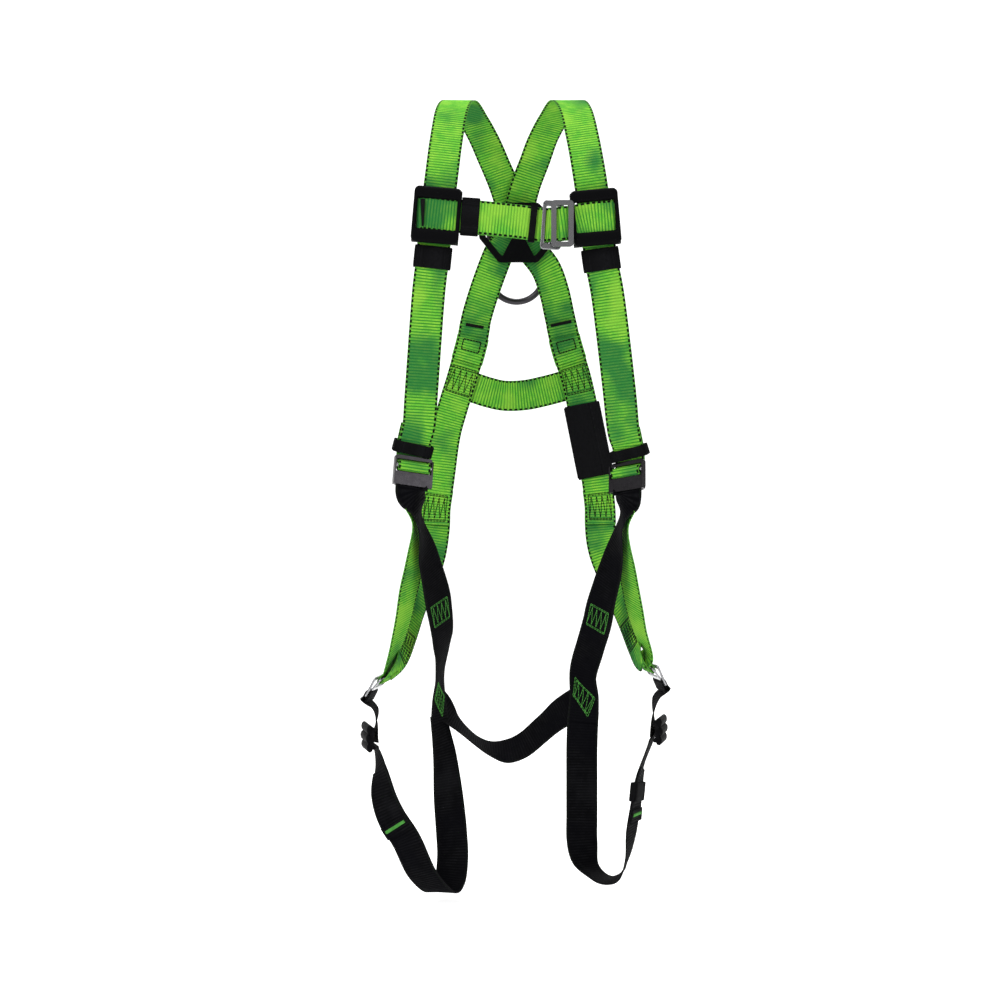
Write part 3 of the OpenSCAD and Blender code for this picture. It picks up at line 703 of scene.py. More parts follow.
def webbing_group():
    """Woven strap: painted highlight on the crests and painted shade in the grooves
    across it, finer warp threads along it, painted shade in broad patches that
    deepens towards the back with patches of painted light between them, a dashed
    tracer thread and a selvedge."""
    tree, w, source, sink = group_tree(
        "webbing weave",
        [("UV", VECTOR), ("Place", VECTOR), ("Main", COLOUR), ("Crest", COLOUR),
         ("Groove", COLOUR), ("Shade", COLOUR), ("Tracer", COLOUR), ("Selvedge", COLOUR),
         ("Pitch", NUMBER), ("Half Width", NUMBER)],
        [("Color", COLOUR), ("Roughness", NUMBER), ("Height", NUMBER)])
    uv = w.add("ShaderNodeSeparateXYZ", [source["UV"]]).outputs
    across = w.math("ABSOLUTE", uv[1])
    mottle = w.noise(source["Place"], 90.0, 4.0, 0.6)
    yarn = w.noise(source["Place"], 520.0, 2.0, 0.5)
    angle = w.math("MULTIPLY", w.math("DIVIDE", uv[0], source["Pitch"]), 2 * np.pi)
    angle = w.math("ADD", angle, w.math("MULTIPLY", mottle, 1.1))
    wave = w.math("MULTIPLY_ADD", w.math("COSINE", angle), 0.5, 0.5)
    warp = w.math("MULTIPLY_ADD", w.math(
        "SINE", w.math("MULTIPLY", uv[1], 2 * np.pi / 0.0016)), 0.5, 0.5)
    twill = w.math("SINE", w.math("ADD", w.math(
        "MULTIPLY", uv[1], 2 * np.pi / 0.0032), angle))
    # Painted highlight on the rib crests and painted shade in the grooves: lit runs from
    # groove to crest
    lit = w.math("MULTIPLY", wave, w.math("MULTIPLY_ADD", warp, 0.35, 0.65))
    base = w.mix(w.ramp(lit, 0.03, 0.42), source["Groove"], source["Main"])
    # Painted highlight: the lit crests turn lighter still in patches of the mottle noise
    speck = w.math("MULTIPLY", w.ramp(mottle, 0.38, 0.66), w.ramp(lit, 0.30, 0.85))
    base = w.mix(speck, base, source["Crest"])
    base = w.mix(w.math("MULTIPLY", w.ramp(yarn, 0.55, 0.75), 0.35), base, source["Groove"])
    # Painted shade: broad noise patches, darker still towards the back, mixed towards the
    # shade colour
    toward_back = w.add("ShaderNodeSeparateXYZ", [source["Place"]]).outputs[1]
    painted_shade_and_light = w.math("MULTIPLY_ADD", w.ramp(toward_back, 0.02, 0.11), 0.055,
                   w.noise(source["Place"], 13.0, 2.0, 0.5))
    base = w.mix(w.math("MULTIPLY", w.ramp(painted_shade_and_light, 0.48, 0.62), 0.78), base,
                 source["Shade"])
    # Painted light: where the broad mask is low the strap turns towards the crest colour
    base = w.mix(w.math("MULTIPLY", w.ramp(painted_shade_and_light, 0.44, 0.33), 0.45), base,
                 source["Crest"])
    gap = w.math("SUBTRACT", source["Half Width"], across)
    base = w.mix(w.ramp(gap, 0.0026, 0.0020), base, source["Selvedge"])
    tracer = w.math("MULTIPLY", w.ramp(gap, 0.0002, 0.0005), w.ramp(gap, 0.0034, 0.0030))
    dash = w.ramp(w.math("FRACT", w.math("DIVIDE", uv[0], 0.0068)), 0.64, 0.58)
    base = w.mix(w.math("MULTIPLY", tracer, dash), base, source["Tracer"])
    w.tree.links.new(base, sink["Color"])
    w.tree.links.new(w.math("MULTIPLY_ADD", wave, -0.15, 0.82), sink["Roughness"])
    height = w.math("ADD", w.math("MULTIPLY", warp, 0.4), w.math("MULTIPLY", yarn, 0.5))
    height = w.math("ADD", height, w.math("MULTIPLY", twill, 0.22))
    w.tree.links.new(w.math("ADD", height, w.math("MULTIPLY", wave, 0.7)), sink["Height"])
    return tree


def grain_group():
    """Fine surface noise at two sizes, for moulded plastic and stamped steel."""
    tree, w, source, sink = group_tree(
        "fine grain", [("Place", VECTOR), ("Scale", NUMBER)],
        [("Height", NUMBER), ("Mask", NUMBER)])
    fine = w.noise(source["Place"], source["Scale"], 2.0, 0.5)
    coarse = w.noise(source["Place"], w.math("MULTIPLY", source["Scale"], 0.08), 4.0, 0.6)
    w.tree.links.new(w.math("MULTIPLY_ADD", fine, 0.6, w.math("MULTIPLY", coarse, 0.4)),
                     sink["Height"])
    w.tree.links.new(w.ramp(coarse, 0.42, 0.68), sink["Mask"])
    return tree


def wear_group():
    """Edges rubbed lighter, where the surface turns sharply and noise allows."""
    tree, w, source, sink = group_tree(
        "edge wear", [("Color", COLOUR), ("Worn", COLOUR), ("Place", VECTOR),
                      ("Amount", NUMBER)], [("Color", COLOUR), ("Mask", NUMBER)])
    point = w.add("ShaderNodeNewGeometry").outputs["Pointiness"]
    rubbed = w.math("MULTIPLY", w.ramp(point, 0.51, 0.58),
                    w.ramp(w.noise(source["Place"], 260.0, 4.0, 0.65), 0.38, 0.62))
    rubbed = w.math("MULTIPLY", rubbed, source["Amount"])
    w.tree.links.new(w.mix(rubbed, source["Color"], source["Worn"]), sink["Color"])
    w.tree.links.new(rubbed, sink["Mask"])
    return tree


def dust_group():
    """Pale dust that settles in patches on what faces up."""
    tree, w, source, sink = group_tree(
        "light dust", [("Color", COLOUR), ("Dust", COLOUR), ("Place", VECTOR),
                       ("Amount", NUMBER)], [("Color", COLOUR)])
    up = w.add("ShaderNodeSeparateXYZ", [
        w.add("ShaderNodeNewGeometry").outputs["Normal"]]).outputs[2]
    patch = w.ramp(w.noise(source["Place"], 45.0, 5.0, 0.65), 0.35, 0.8)
    amount = w.math("MULTIPLY", w.math("MULTIPLY", patch, w.ramp(up, -0.4, 1.0)),
                    source["Amount"])
    w.tree.links.new(w.mix(amount, source["Color"], source["Dust"]), sink["Color"])
    return tree


def cloth_group():
    """Plain weave of yarns that pass over and under each other, from two
    crossed sine waves, with ribs along one direction for elastic, and painted
    highlight on the raised yarns."""
    tree, w, source, sink = group_tree(
        "plain cloth", [("UV", VECTOR), ("Place", VECTOR), ("Color", COLOUR),
                        ("Lit", COLOUR), ("Along", NUMBER), ("Across", NUMBER)],
        [("Color", COLOUR), ("Height", NUMBER)])
    uv = w.add("ShaderNodeSeparateXYZ", [source["UV"]]).outputs
    a = w.math("SINE", w.math("MULTIPLY", w.math("DIVIDE", uv[0], source["Along"]),
                              2 * np.pi))
    b = w.math("SINE", w.math("MULTIPLY", w.math("DIVIDE", uv[1], source["Across"]),
                              2 * np.pi))
    weave = w.math("MULTIPLY_ADD", w.math("MULTIPLY", a, b), 0.5, 0.5)
    rib = w.math("MULTIPLY_ADD", b, 0.5, 0.5)
    height = w.math("MULTIPLY_ADD", rib, 0.6, w.math("MULTIPLY", weave, 0.4))
    fuzz = w.noise(source["Place"], 300.0, 4.0, 0.6)
    # Painted highlight: raised yarns turn towards the lit copy of the colour, in patches of
    # fuzz noise
    lit = w.math("MULTIPLY", w.ramp(height, 0.3, 1.0), w.ramp(fuzz, 0.3, 0.7))
    w.tree.links.new(w.mix(lit, source["Color"], source["Lit"]), sink["Color"])
    w.tree.links.new(height, sink["Height"])
    return tree


def rgba(colour, times=1.0):
    """A colour made lighter or darker by a factor, with full alpha."""
    return (*[c * times for c in colour], 1.0)


def new_material(name):
    """An empty material with its wiring, its Principled shader and the places."""
    material = bpy.data.materials.new(name)
    material.use_nodes = True
    material.node_tree.nodes.clear()
    w = Wiring(material.node_tree)
    shader = w.add("ShaderNodeBsdfPrincipled")
    w.add("ShaderNodeOutputMaterial", {"Surface": shader.outputs[0]})
    place = w.add("ShaderNodeTexCoord").outputs["Object"]
    return material, w, shader, place


def grouped(w, tree, **values):
    """A node group in a material, its named sockets joined or set to values."""
    node = w.add("ShaderNodeGroup", node_tree=tree)
    for key, value in values.items():
        socket = node.inputs[key.replace("_", " ")]
        if isinstance(value, NodeSocket):
            w.tree.links.new(value, socket)
        else:
            socket.default_value = value
    return node.outputs


def bumped(w, shader, height, strength, distance):
    """Tilts the shader's normal by the slope of a height."""
    bump = w.add("ShaderNodeBump", {
        "Strength": strength, "Distance": distance, "Height": height})
    w.tree.links.new(bump.outputs[0], shader.inputs["Normal"])


def webbing_material(name, groups, sizes, main, crest, groove, shade, tracer, selvedge):
    """Dull woven strap: the weave along the strap's own length and width."""
    material, w, shader, place = new_material(name)
    uv = w.add("ShaderNodeUVMap", uv_map="UVMap").outputs[0]
    woven = grouped(
        w, groups["webbing"], UV=uv, Place=place, Main=main, Crest=crest,
        Groove=groove, Shade=shade, Tracer=tracer, Selvedge=selvedge,
        Pitch=sizes.rib_pitch, Half_Width=sizes.web_width / 2)
    dusty = grouped(w, groups["dust"], Color=woven["Color"], Place=place,
                    Dust=(0.42, 0.42, 0.38, 1), Amount=0.003)
    w.tree.links.new(dusty["Color"], shader.inputs["Base Color"])
    w.tree.links.new(woven["Roughness"], shader.inputs["Roughness"])
    shader.inputs["Specular IOR Level"].default_value = 0.02
    bumped(w, shader, woven["Height"], 0.75, 0.0004)
    return material


def metal_material(name, groups, colour, worn, rough, grain, bump):
    """Steel with a fine grain, rubbed edges and a trace of dust."""
    material, w, shader, place = new_material(name)
    speck = grouped(w, groups["grain"], Place=place, Scale=grain)
    rubbed = grouped(w, groups["wear"], Color=rgba(colour), Worn=worn, Place=place,
                     Amount=0.35)
    tone = w.mix(w.math("MULTIPLY", speck["Mask"], 0.14), rubbed["Color"],
                 rgba(colour, 0.55))
    dusty = grouped(w, groups["dust"], Color=tone, Place=place,
                    Dust=(0.45, 0.45, 0.43, 1), Amount=0.010)
    w.tree.links.new(dusty["Color"], shader.inputs["Base Color"])
    shader.inputs["Metallic"].default_value = 1.0
    w.tree.links.new(w.math("MULTIPLY_ADD", speck["Mask"], 0.06, rough),
                     shader.inputs["Roughness"])
    bumped(w, shader, speck["Height"], bump, 0.0003)
    return material


def plastic_material(name, groups, colour):
    """Moulded plastic: fine grain, edges rubbed a little lighter, a trace of dust."""
    material, w, shader, place = new_material(name)
    speck = grouped(w, groups["grain"], Place=place, Scale=2600.0)
    rubbed = grouped(w, groups["wear"], Color=rgba(colour), Worn=(0.010, 0.010, 0.011, 1),
                     Place=place, Amount=0.4)
    dusty = grouped(w, groups["dust"], Color=rubbed["Color"], Place=place,
                    Dust=(0.30, 0.30, 0.29, 1), Amount=0.004)
    w.tree.links.new(dusty["Color"], shader.inputs["Base Color"])
    w.tree.links.new(w.math("MULTIPLY_ADD", speck["Mask"], 0.10, 0.50),
                     shader.inputs["Roughness"])
    shader.inputs["Specular IOR Level"].default_value = 0.015
    bumped(w, shader, speck["Height"], 0.25, 0.0002)
    return material


def cloth_material(name, groups, colour, along, across, strength):
    """Cloth or elastic whose yarns are along and across metres apart."""
    material, w, shader, place = new_material(name)
    uv = w.add("ShaderNodeUVMap", uv_map="UVMap").outputs[0]
    # Lit is the painted highlight: the cloth's own colour made 2.6 times lighter
    woven = grouped(w, groups["cloth"], UV=uv, Place=place, Color=rgba(colour),
                    Lit=rgba(colour, 2.6), Along=along, Across=across)
    dusty = grouped(w, groups["dust"], Color=woven["Color"], Place=place,
                    Dust=(0.35, 0.35, 0.34, 1), Amount=0.003)
    w.tree.links.new(dusty["Color"], shader.inputs["Base Color"])
    shader.inputs["Roughness"].default_value = 0.85
    shader.inputs["Specular IOR Level"].default_value = 0.05
    bumped(w, shader, woven["Height"], strength, 0.0005)
    return material


def thread_material(name, groups, colour):
    """Twisted sewing thread, darker in patches."""
    material, w, shader, place = new_material(name)
    speck = grouped(w, groups["grain"], Place=place, Scale=1800.0)
    tone = w.mix(speck["Mask"], rgba(colour), rgba(colour, 0.6))
    w.tree.links.new(tone, shader.inputs["Base Color"])
    shader.inputs["Roughness"].default_value = 0.7
    shader.inputs["Specular IOR Level"].default_value = 0.08
    bumped(w, shader, speck["Height"], 0.4, 0.0002)
    return material


def make_materials(sizes, colours):
    """The shared node groups, and every finish made with them."""
    groups = {
        "webbing": webbing_group(), "grain": grain_group(), "wear": wear_group(),
        "dust": dust_group(), "cloth": cloth_group(),
    }
    dark = (0.004, 0.005, 0.004, 1)
    # Webbing colours in order main, crest, groove, shade, tracer, selvedge: crest is
    # painted highlight, groove is painted shade between the ribs, shade is painted broad
    # shade
    webbing_material(
        "green webbing", groups, sizes, rgba(colours.green), rgba(colours.highlight_lime),
        rgba(colours.shade_and_fleck_green), (0.010, 0.105, 0.030, 1), dark, (0.075, 0.27, 0.030, 1))
    webbing_material(
        "black webbing", groups, sizes, rgba(colours.black), (0.0085, 0.0085, 0.0098, 1),
        (0.0015, 0.0015, 0.002, 1), (0.002, 0.002, 0.003, 1), dark,
        (0.007, 0.007, 0.008, 1))
    cloth_material("black elastic", groups, colours.black, 0.0012, 0.0024, 0.8)
    cloth_material("pouch cloth", groups, colours.black, 0.0011, 0.0011, 0.5)
    plastic_material("black plastic", groups, colours.black)
    metal_material("bright steel", groups, colours.steel, (0.36, 0.36, 0.37, 1),
                   0.24, 400.0, 0.015)
    metal_material("dark steel", groups, colours.dark_steel, (0.075, 0.072, 0.078, 1),
                   0.27, 900.0, 0.05)
    thread_material("black thread", groups, (0.0035, 0.0035, 0.0035))
    thread_material("green thread", groups, colours.thread_green)


def finish_piece(piece, material, body=None, replaces=()):
    """Gives a piece its material, its body and the node it stands for."""
    piece.data.materials.clear()
    piece.data.materials.append(bpy.data.materials[material])
    if body:
        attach(piece, body)
    if replaces:
        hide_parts(*replaces)
    return piece


# --- Operators -------------------------------------------------------------

STRAPS = {}


def lay_straps(listed, material, sizes):
    """Webbing along each listed route. A strap with no body of its own is
    attached to none, and its placing is baked into its points."""
    for node, route, body, hangs_from in listed:
        strap = STRAPS[node] = Strap(route)
        piece = strap_piece(node + "_web", strap, sizes)
        finish_piece(piece, material, body, [node])
        if body is None:
            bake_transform(piece)


class HARNESS_OT_stage(Operator):
    """Floor and backdrop in one sweep, soft lights and the camera"""

    bl_idname = "harness.stage"
    bl_label = "Stage"

    def execute(self, context):
        scene = context.scene
        scene.view_settings.view_transform = "Standard"
        floor_z, back, radius = -1.135, 6.5, 1.6
        turn = np.linspace(0, np.pi / 2, 24)
        line = np.concatenate([
            [(-6.5, floor_z)],
            np.stack([back - radius + radius * np.sin(turn),
                      floor_z + radius - radius * np.cos(turn)], 1),
            [(back, 6.0)]])
        x = np.array([-9.0, 9.0])
        verts = np.array([(a, y, z) for y, z in line for a in x])
        faces = [(2 * k, 2 * k + 1, 2 * k + 3, 2 * k + 2) for k in range(len(line) - 1)]
        mesh = bpy.data.meshes.new("sweep")
        mesh.from_pydata(verts.tolist(), [], faces)
        mesh.shade_smooth()
        sweep = bpy.data.objects.new("sweep", mesh)
        scene.collection.objects.link(sweep)
        material, w, shader, place = new_material("pale sweep")
        tone = w.mix(w.noise(place, 3.0), (0.86, 0.86, 0.86, 1), (0.90, 0.90, 0.90, 1))
        w.tree.links.new(tone, shader.inputs["Base Color"])
        shader.inputs["Roughness"].default_value = 0.9
        shader.inputs["Emission Color"].default_value = (1, 1, 1, 1)
        shader.inputs["Emission Strength"].default_value = 0.52
        mesh.materials.append(material)
        lights = [
            ("key", (-1.5, -2.3, 1.3), 1.4, 62), ("fill", (2.0, -2.1, 0.1), 1.6, 20),
            ("top", (0.0, 0.0, 1.9), 1.6, 34), ("back", (0.0, 1.9, 0.9), 2.0, 14),
            ("wall", (0.0, 0.5, 2.4), 3.0, 44),
        ]
        for name, spot, size, power in lights:
            lamp = bpy.data.lights.new(name, "AREA")
            lamp.shape, lamp.size, lamp.energy = "DISK", size, power
            piece = bpy.data.objects.new(name, lamp)
            piece.location = spot
            aim = Vector((0, 3.0 if name == "wall" else 0, -0.55)) - Vector(spot)
            piece.rotation_euler = aim.to_track_quat("-Z", "Y").to_euler()
            scene.collection.objects.link(piece)
        world = bpy.data.worlds.new("soft sky")
        world.use_nodes = True
        sky = world.node_tree.nodes["Background"]
        sky.inputs["Color"].default_value = (1, 1, 1, 1)
        sky.inputs["Strength"].default_value = 0.36
        scene.world = world
        camera = bpy.data.cameras.new("camera")
        camera.lens, camera.sensor_width = 61.1, 36
        eye = bpy.data.objects.new("camera", camera)
        eye.location = (-0.022, -2.4, -0.564)
        eye.rotation_euler = (np.pi / 2, 0, 0)
        scene.collection.objects.link(eye)
        scene.camera = eye
        return {"FINISHED"}


class HARNESS_OT_materials(Operator):
    """All finishes: webbing, elastic, cloth, plastic, steel and thread"""

    bl_idname = "harness.materials"
    bl_label = "Finishes"

    def execute(self, context):
        make_materials(context.scene.harness_sizes, context.scene.harness_colours)
        return {"FINISHED"}


class HARNESS_OT_green_webbing(Operator):
    """Shoulder, chest, sub-back and hip straps"""

    bl_idname = "harness.green_webbing"
    bl_label = "Green webbing"

    def execute(self, context):
        lay_straps(GREEN_STRAPS, "green webbing",
                   context.scene.harness_sizes)
        return {"FINISHED"}


class HARNESS_OT_black_webbing(Operator):
    """Leg straps, seat strap, leg loops and their tabs"""

    bl_idname = "harness.black_webbing"
    bl_label = "Black webbing"

    def execute(self, context):
        lay_straps(BLACK_STRAPS, "black webbing",
                   context.scene.harness_sizes)
        return {"FINISHED"}


class HARNESS_OT_folds(Operator):
    """Extra layers: the indicator folds on the back and the leg loops' tails"""

    bl_idname = "harness.folds"
    bl_label = "Folded layers"

    def execute(self, context):
        sizes = context.scene.harness_sizes
        step = sizes.web_thick + 0.0004  # one layer and the air under it
        loose = step + 0.0012
        for node, x in (("shoulder_strap_l", 76), ("shoulder_strap_r", -66)):
            strap = STRAPS[node]
            middle = strap.near(x, 114, -333)
            face = strap.front(middle)
            layers = [(-0.031, 0.030, face * loose, 0.0455),
                      (-0.010, 0.027, face * 2 * loose, 0.0472),
                      (-0.027, 0.033, -face * loose, 0.0455)]
            for k, (a, b, lift, width) in enumerate(layers):
                piece = strap_piece(f"{node}_indicator_{k + 1}", strap, sizes,
                                    middle + a, middle + b, lift, width)
                finish_piece(piece, "green webbing", "harness")
        for node, top, low in (
                ("leg_loop_l", (-189, -34, -940), (-161, -52, -1024)),
                ("leg_loop_r", (176, -29, -938), (163, -36, -1010))):
            strap = STRAPS[node]
            ends = sorted((strap.near(*top), strap.near(*low)))
            face = strap.front(ends[0])
            piece = strap_piece(node + "_tail", strap, sizes, *ends, face * step)
            finish_piece(piece, "black webbing", node)
            hem_width, past, back = 0.044, 0.001, 0.017
            hem = strap_piece(node + "_hem", strap, sizes, ends[0] - past,
                              ends[0] + back, face * 2 * step, hem_width)
            finish_piece(hem, "black webbing", node)
            tack = stitched(node + "_tack", strap, bar_tack(ends[0] + 0.010, 0.034),
                            sizes, (face,), 2 * step + sizes.web_thick / 2)
            finish_piece(tack, "green thread", node)
        return {"FINISHED"}


class HARNESS_OT_sewing(Operator):
    """Boxes of sewing, bar tacks and slanted boxes, in black and green thread"""

    bl_idname = "harness.sewing"
    bl_label = "Sewing"

    def execute(self, context):
        sizes = context.scene.harness_sizes
        thick = sizes.web_thick
        boxes = [
            ("back_box_r", "shoulder_strap_l", (91, 114, -386), 0.040, 0.036, "black"),
            ("back_box_l", "shoulder_strap_r", (-80, 114, -388), 0.040, 0.036, "black"),
            ("low_box_r", "shoulder_strap_l", (125, 95, -574), 0.040, 0.032, "black"),
            ("low_box_l", "shoulder_strap_r", (-117, 95, -576), 0.040, 0.032, "black"),
            ("hip_box_l", "hip_loop_l", (-155, 18, -772), 0.040, 0.032, "black"),
            ("hip_box_r", "hip_loop_r", (162, 20, -756), 0.040, 0.032, "black"),
            ("leg_box_l", "leg_strap_l", (-107, -16, -721), 0.038, 0.030, "green"),
            ("leg_box_r", "leg_strap_r", (116, -20, -729), 0.038, 0.030, "green"),
        ]
        for name, node, spot, length, width, tone in boxes:
            strap = STRAPS[node]
            lines = w_box(strap.near(*spot), 0.0, length, width)
            piece = stitched(name, strap, lines, sizes,
                             gauge=0.72 if tone == "black" else 0.6)
            finish_piece(piece, tone + " thread", "harness")
        for name, node, spot in (
                ("seat_diamond_l", "leg_strap_l", (-110, 42, -849)),
                ("seat_diamond_r", "leg_strap_r", (99, 41, -847))):
            strap = STRAPS[node]
            u = strap.near(*spot)
            lines = slant_box(u, 0, 0.056, 0.034, -strap.front(u))
            piece = stitched(name, strap, lines, sizes, gauge=0.6)
            finish_piece(piece, "green thread", "harness")
        tacks = [
            ("fold_tack_l", "shoulder_strap_r", (-60, 113, -306), 0.026, "harness"),
            ("fold_tack_r", "shoulder_strap_l", (69, 113, -303), 0.030, "harness"),
            ("chest_tack_l", "chest_strap_l", (-125, -130, -181), 0.036, "chest"),
        ]
        for name, node, spot, width, body in tacks:
            strap = STRAPS[node]
            lines = bar_tack(strap.near(*spot), width)
            piece = stitched(name, strap, lines, sizes, depth=1.5 * thick + 0.0018)
            finish_piece(piece, "black thread", body)
        for name, node, spot in (
                ("indicator_box_l", "shoulder_strap_r", (-66, 114, -336)),
                ("indicator_box_r", "shoulder_strap_l", (77, 114, -336))):
            strap = STRAPS[node]
            u = strap.near(*spot)
            lines = w_box(u, 0, 0.016, 0.026)[:2] + [
                [(u - 0.008, -0.013), (u - 0.008, 0.013)],
                [(u + 0.008, -0.013), (u + 0.008, 0.013)]]
            piece = stitched(name, strap, lines, sizes, depth=2.5 * thick + 0.0032)
            finish_piece(piece, "black thread", "harness")
        return {"FINISHED"}


class HARNESS_OT_keepers(Operator):
    """Elastic keepers that hold the loose ends"""

    bl_idname = "harness.keepers"
    bl_label = "Keepers"

    def execute(self, context):
        keepers = [
            ("chest_keeper_l", ((-62, -127.9, -185), (0, 0, 94)), 48, 7.2, 24),
            ("chest_keeper_r", ((22, -125.8, -193.3), (0, 0, 96)), 48, 7.6, 9),
            ("shoulder_keeper_l", ((-112.6, -115, -237.4), (0, 0, 6)), 48, 5, 30),
            ("shoulder_keeper_r", ((114, -115, -240.4), (0, 0, -8)), 48, 5, 30),
            ("adjuster_keeper_l", ((-140, -101.6, -494), (14, 15, 12)), 52, 13.4, 16),
            ("adjuster_keeper_r", ((153, -102.3, -500.4), (-28, 15, -12)), 52, 13.2, 15),
            ("leg_keeper_r", ((169.4, -35.8, -970), (70, 4, 7)), 50, 6.8, 26),
        ]
        for node, pose, width, deep, height in keepers:
            piece = sleeve(node + "_band", pose, width, deep, height, ribs=0.25)
            finish_piece(piece, "black elastic", node, [node])
        return {"FINISHED"}


class HARNESS_OT_fittings(Operator):
    """Moulded and stamped fittings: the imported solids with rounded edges"""

    bl_idname = "harness.fittings"
    bl_label = "Fittings"

    def execute(self, context):
        finishes = [
            ("black plastic", 0.0016, ["chest_slider_l", "chest_slider_r",
                                       "dorsal_plate"]),
            ("black plastic", 0.0008, ["leg_slider_l", "leg_slider_r"]),
            ("bright steel", 0.0009, [
                "chest_buckle_frame", "chest_buckle_plate", "hip_frame_l",
                "hip_frame_r", "hip_plate_l", "hip_plate_r"]),
            ("dark steel", 0.0009, ["adjuster_frame_l", "adjuster_frame_r"]),
            ("bright steel", 0.0004, ["adjuster_bar_l", "adjuster_bar_r"]),
        ]
        for material, radius, nodes in finishes:
            for node in nodes:
                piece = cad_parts[node]
                piece.data.materials.clear()
                piece.data.materials.append(bpy.data.materials[material])
                weld = piece.modifiers.new("weld", "WELD")
                weld.merge_threshold = 0.00002
                bevel = piece.modifiers.new("bevel", "BEVEL")
                bevel.width, bevel.segments = radius, 3
                bevel.limit_method, bevel.angle_limit = "ANGLE", np.radians(38)
                bevel.harden_normals = False
        return {"FINISHED"}


class HARNESS_OT_mouldings(Operator):
    """Round mouldings over the chest sliders and the leg sliders' three bars"""

    bl_idname = "harness.mouldings"
    bl_label = "Mouldings"

    def execute(self, context):
        for side, x, z, roll in (("l", -107, -183, 5), ("r", 106, -186, -5)):
            piece = window_frame(
                f"chest_slider_{side}_moulding", ((x, -118, z), (0, 0, roll)),
                (64, 75, 7), (53.5, -19.2, 21.6, 2), (-17.5, -6.5))
            finish_piece(piece, "black plastic", "chest")
        for side, place, turn in (("l", (-203, -18, -896), -76),
                                  ("r", (199, -18, -886), 76)):
            for k, rise in enumerate((-12.4, 0, 12.4)):
                piece = round_bar(f"leg_slider_{side}_bar_{k + 1}",
                                  (place, (turn, 0, 0)), (-5.6 - 1.2 * (k == 1), rise),
                                  55, 4.4, 6.6)
                finish_piece(piece, "black plastic", f"leg_slider_{side}")
        return {"FINISHED"}


class HARNESS_OT_ring(Operator):
    """Forged D-ring at the back"""

    bl_idname = "harness.ring"
    bl_label = "D-ring"

    def execute(self, context):
        half, drop, corner = 40.25, 76, 9.0
        bend = np.linspace(0, np.pi / 2, 9)
        bow = np.linspace(0, np.pi, 49)
        bar = np.linspace(-half + corner, half - corner, 24)[1:-1]
        side = np.linspace(-corner, -drop, 24)[1:-1]
        path = np.concatenate([
            np.stack([bar, 0 * bar], 1),
            np.stack([half - corner + corner * np.sin(bend),
                      -corner + corner * np.cos(bend)], 1),
            np.stack([0 * side + half, side], 1),
            np.stack([half * np.cos(bow), -drop - half * np.sin(bow)], 1),
            np.stack([0 * side - half, side[::-1]], 1),
            np.stack([-half + corner - corner * np.cos(bend),
                      -corner + corner * np.sin(bend)], 1),
        ])
        path = posed(np.stack([path[:, 0], 0 * path[:, 0], path[:, 1]], 1), RING)
        piece = tube_loop("dorsal_ring_forged", path, 0.00475)
        finish_piece(piece, "dark steel", "dorsal_ring", ["dorsal_ring"])
        return {"FINISHED"}


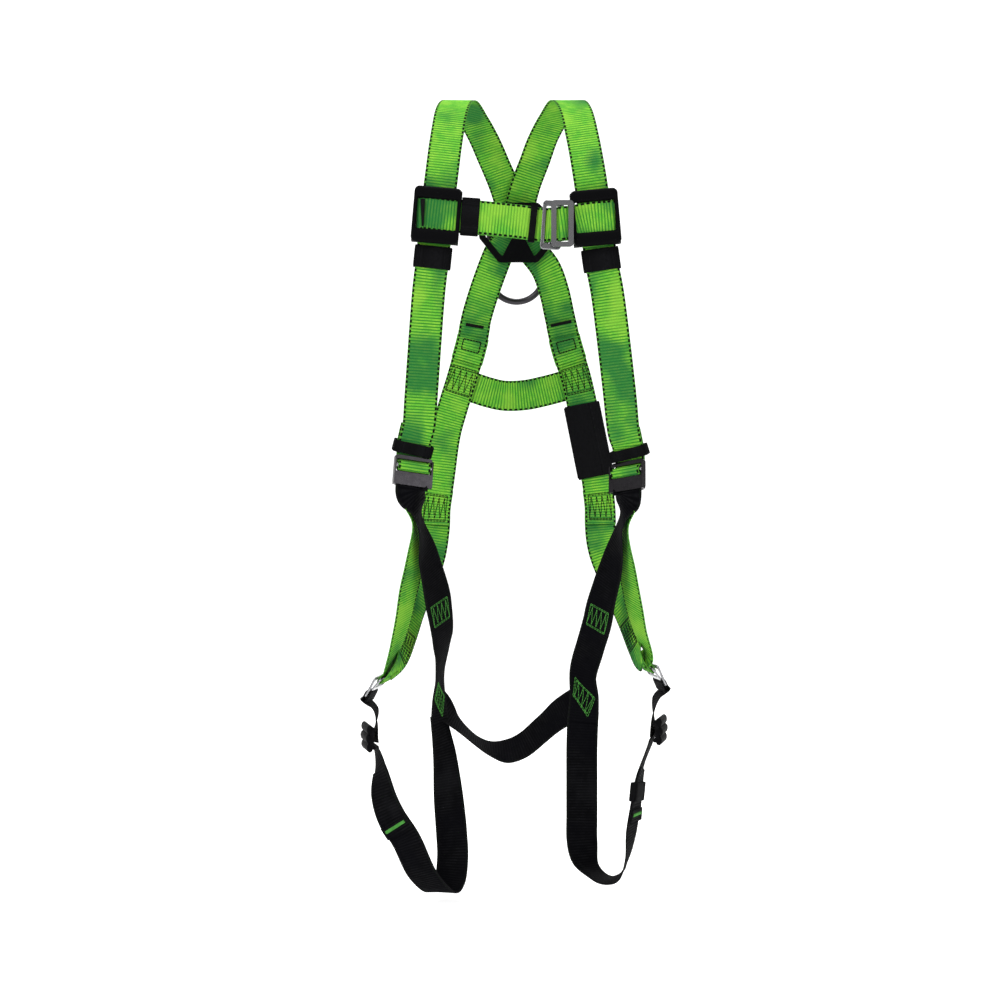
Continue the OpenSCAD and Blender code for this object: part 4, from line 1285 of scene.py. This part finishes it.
class HARNESS_OT_pouch(Operator):
    """Label pouch sewn round the back strap, and its flap"""

    bl_idname = "harness.pouch"
    bl_label = "Label pouch"

    def execute(self, context):
        piece = sleeve("label_pouch_cover", POUCH, 50, 5.4, 110, soft=-0.25)
        finish_piece(piece, "pouch cloth", "harness", ["label_pouch"])
        half, tall = 18, 54
        across = np.linspace(-half, half, 35)
        up = np.linspace(-tall, tall, 60)
        z, x = np.meshgrid(up, across, indexing="ij")
        bulge = -5.2 - 0.8 * np.cos(x / half * np.pi / 2) + 0.25 * np.sin(z / 9 + x / 7)
        edge = np.clip((half - np.abs(x)) / 2.2, 0, 1)
        front = np.stack([x - 8, bulge - 0.9 * edge**0.5, z], -1)
        back = np.stack([x - 8, bulge + 0.5, z], -1)
        loop = np.concatenate([front, back[:, ::-1]], axis=1)
        way = np.linspace(0, 4 * half * MM, loop.shape[1] + 1)
        uv = np.stack(np.meshgrid(up * MM, way, indexing="ij"), -1)
        flap = skin("label_flap_cover", posed(loop, POUCH), uv)
        finish_piece(flap, "pouch cloth", "label_flap", ["label_flap"])
        # A round seam joins the flap's edge to the pouch, along the flap's hinge
        rise, way = np.linspace(-53, 53, 41)[:, None], np.linspace(0, 2 * np.pi, 17)[:-1]
        roll = np.stack([-25.4 + 2.3 * np.cos(way) + 0 * rise,
                         -4.3 + 1.9 * np.sin(way) + 0 * rise, rise + 0 * way], -1)
        seam = skin("label_pouch_seam", posed(roll, POUCH)[:, ::-1])
        finish_piece(seam, "pouch cloth", "harness")
        return {"FINISHED"}


class HARNESS_PT_panel(Panel):
    bl_idname = "HARNESS_PT_panel"
    bl_label = "Harness"
    bl_space_type = "VIEW_3D"
    bl_region_type = "UI"
    bl_category = "Harness"

    def draw(self, context):
        for name in (*HarnessSizes.__annotations__,):
            self.layout.prop(context.scene.harness_sizes, name)
        for name in (*HarnessColours.__annotations__,):
            self.layout.prop(context.scene.harness_colours, name)
        for operator in OPERATORS:
            self.layout.operator(operator.bl_idname)


OPERATORS = (
    HARNESS_OT_stage, HARNESS_OT_materials, HARNESS_OT_green_webbing,
    HARNESS_OT_black_webbing, HARNESS_OT_folds, HARNESS_OT_sewing,
    HARNESS_OT_keepers, HARNESS_OT_fittings, HARNESS_OT_mouldings, HARNESS_OT_ring,
    HARNESS_OT_pouch,
)
CLASSES = (HarnessSizes, HarnessColours, *OPERATORS, HARNESS_PT_panel)


def register():
    for cls in CLASSES:
        bpy.utils.register_class(cls)
    bpy.types.Scene.harness_sizes = PointerProperty(type=HarnessSizes)
    bpy.types.Scene.harness_colours = PointerProperty(type=HarnessColours)


def unregister():
    del bpy.types.Scene.harness_colours
    del bpy.types.Scene.harness_sizes
    for cls in reversed(CLASSES):
        bpy.utils.unregister_class(cls)


def main():
    register()
    for operator in OPERATORS:
        group, name = operator.bl_idname.split(".")
        getattr(getattr(bpy.ops, group), name)()
    bpy.context.view_layer.update()


if __name__ == "__main__":
    main()
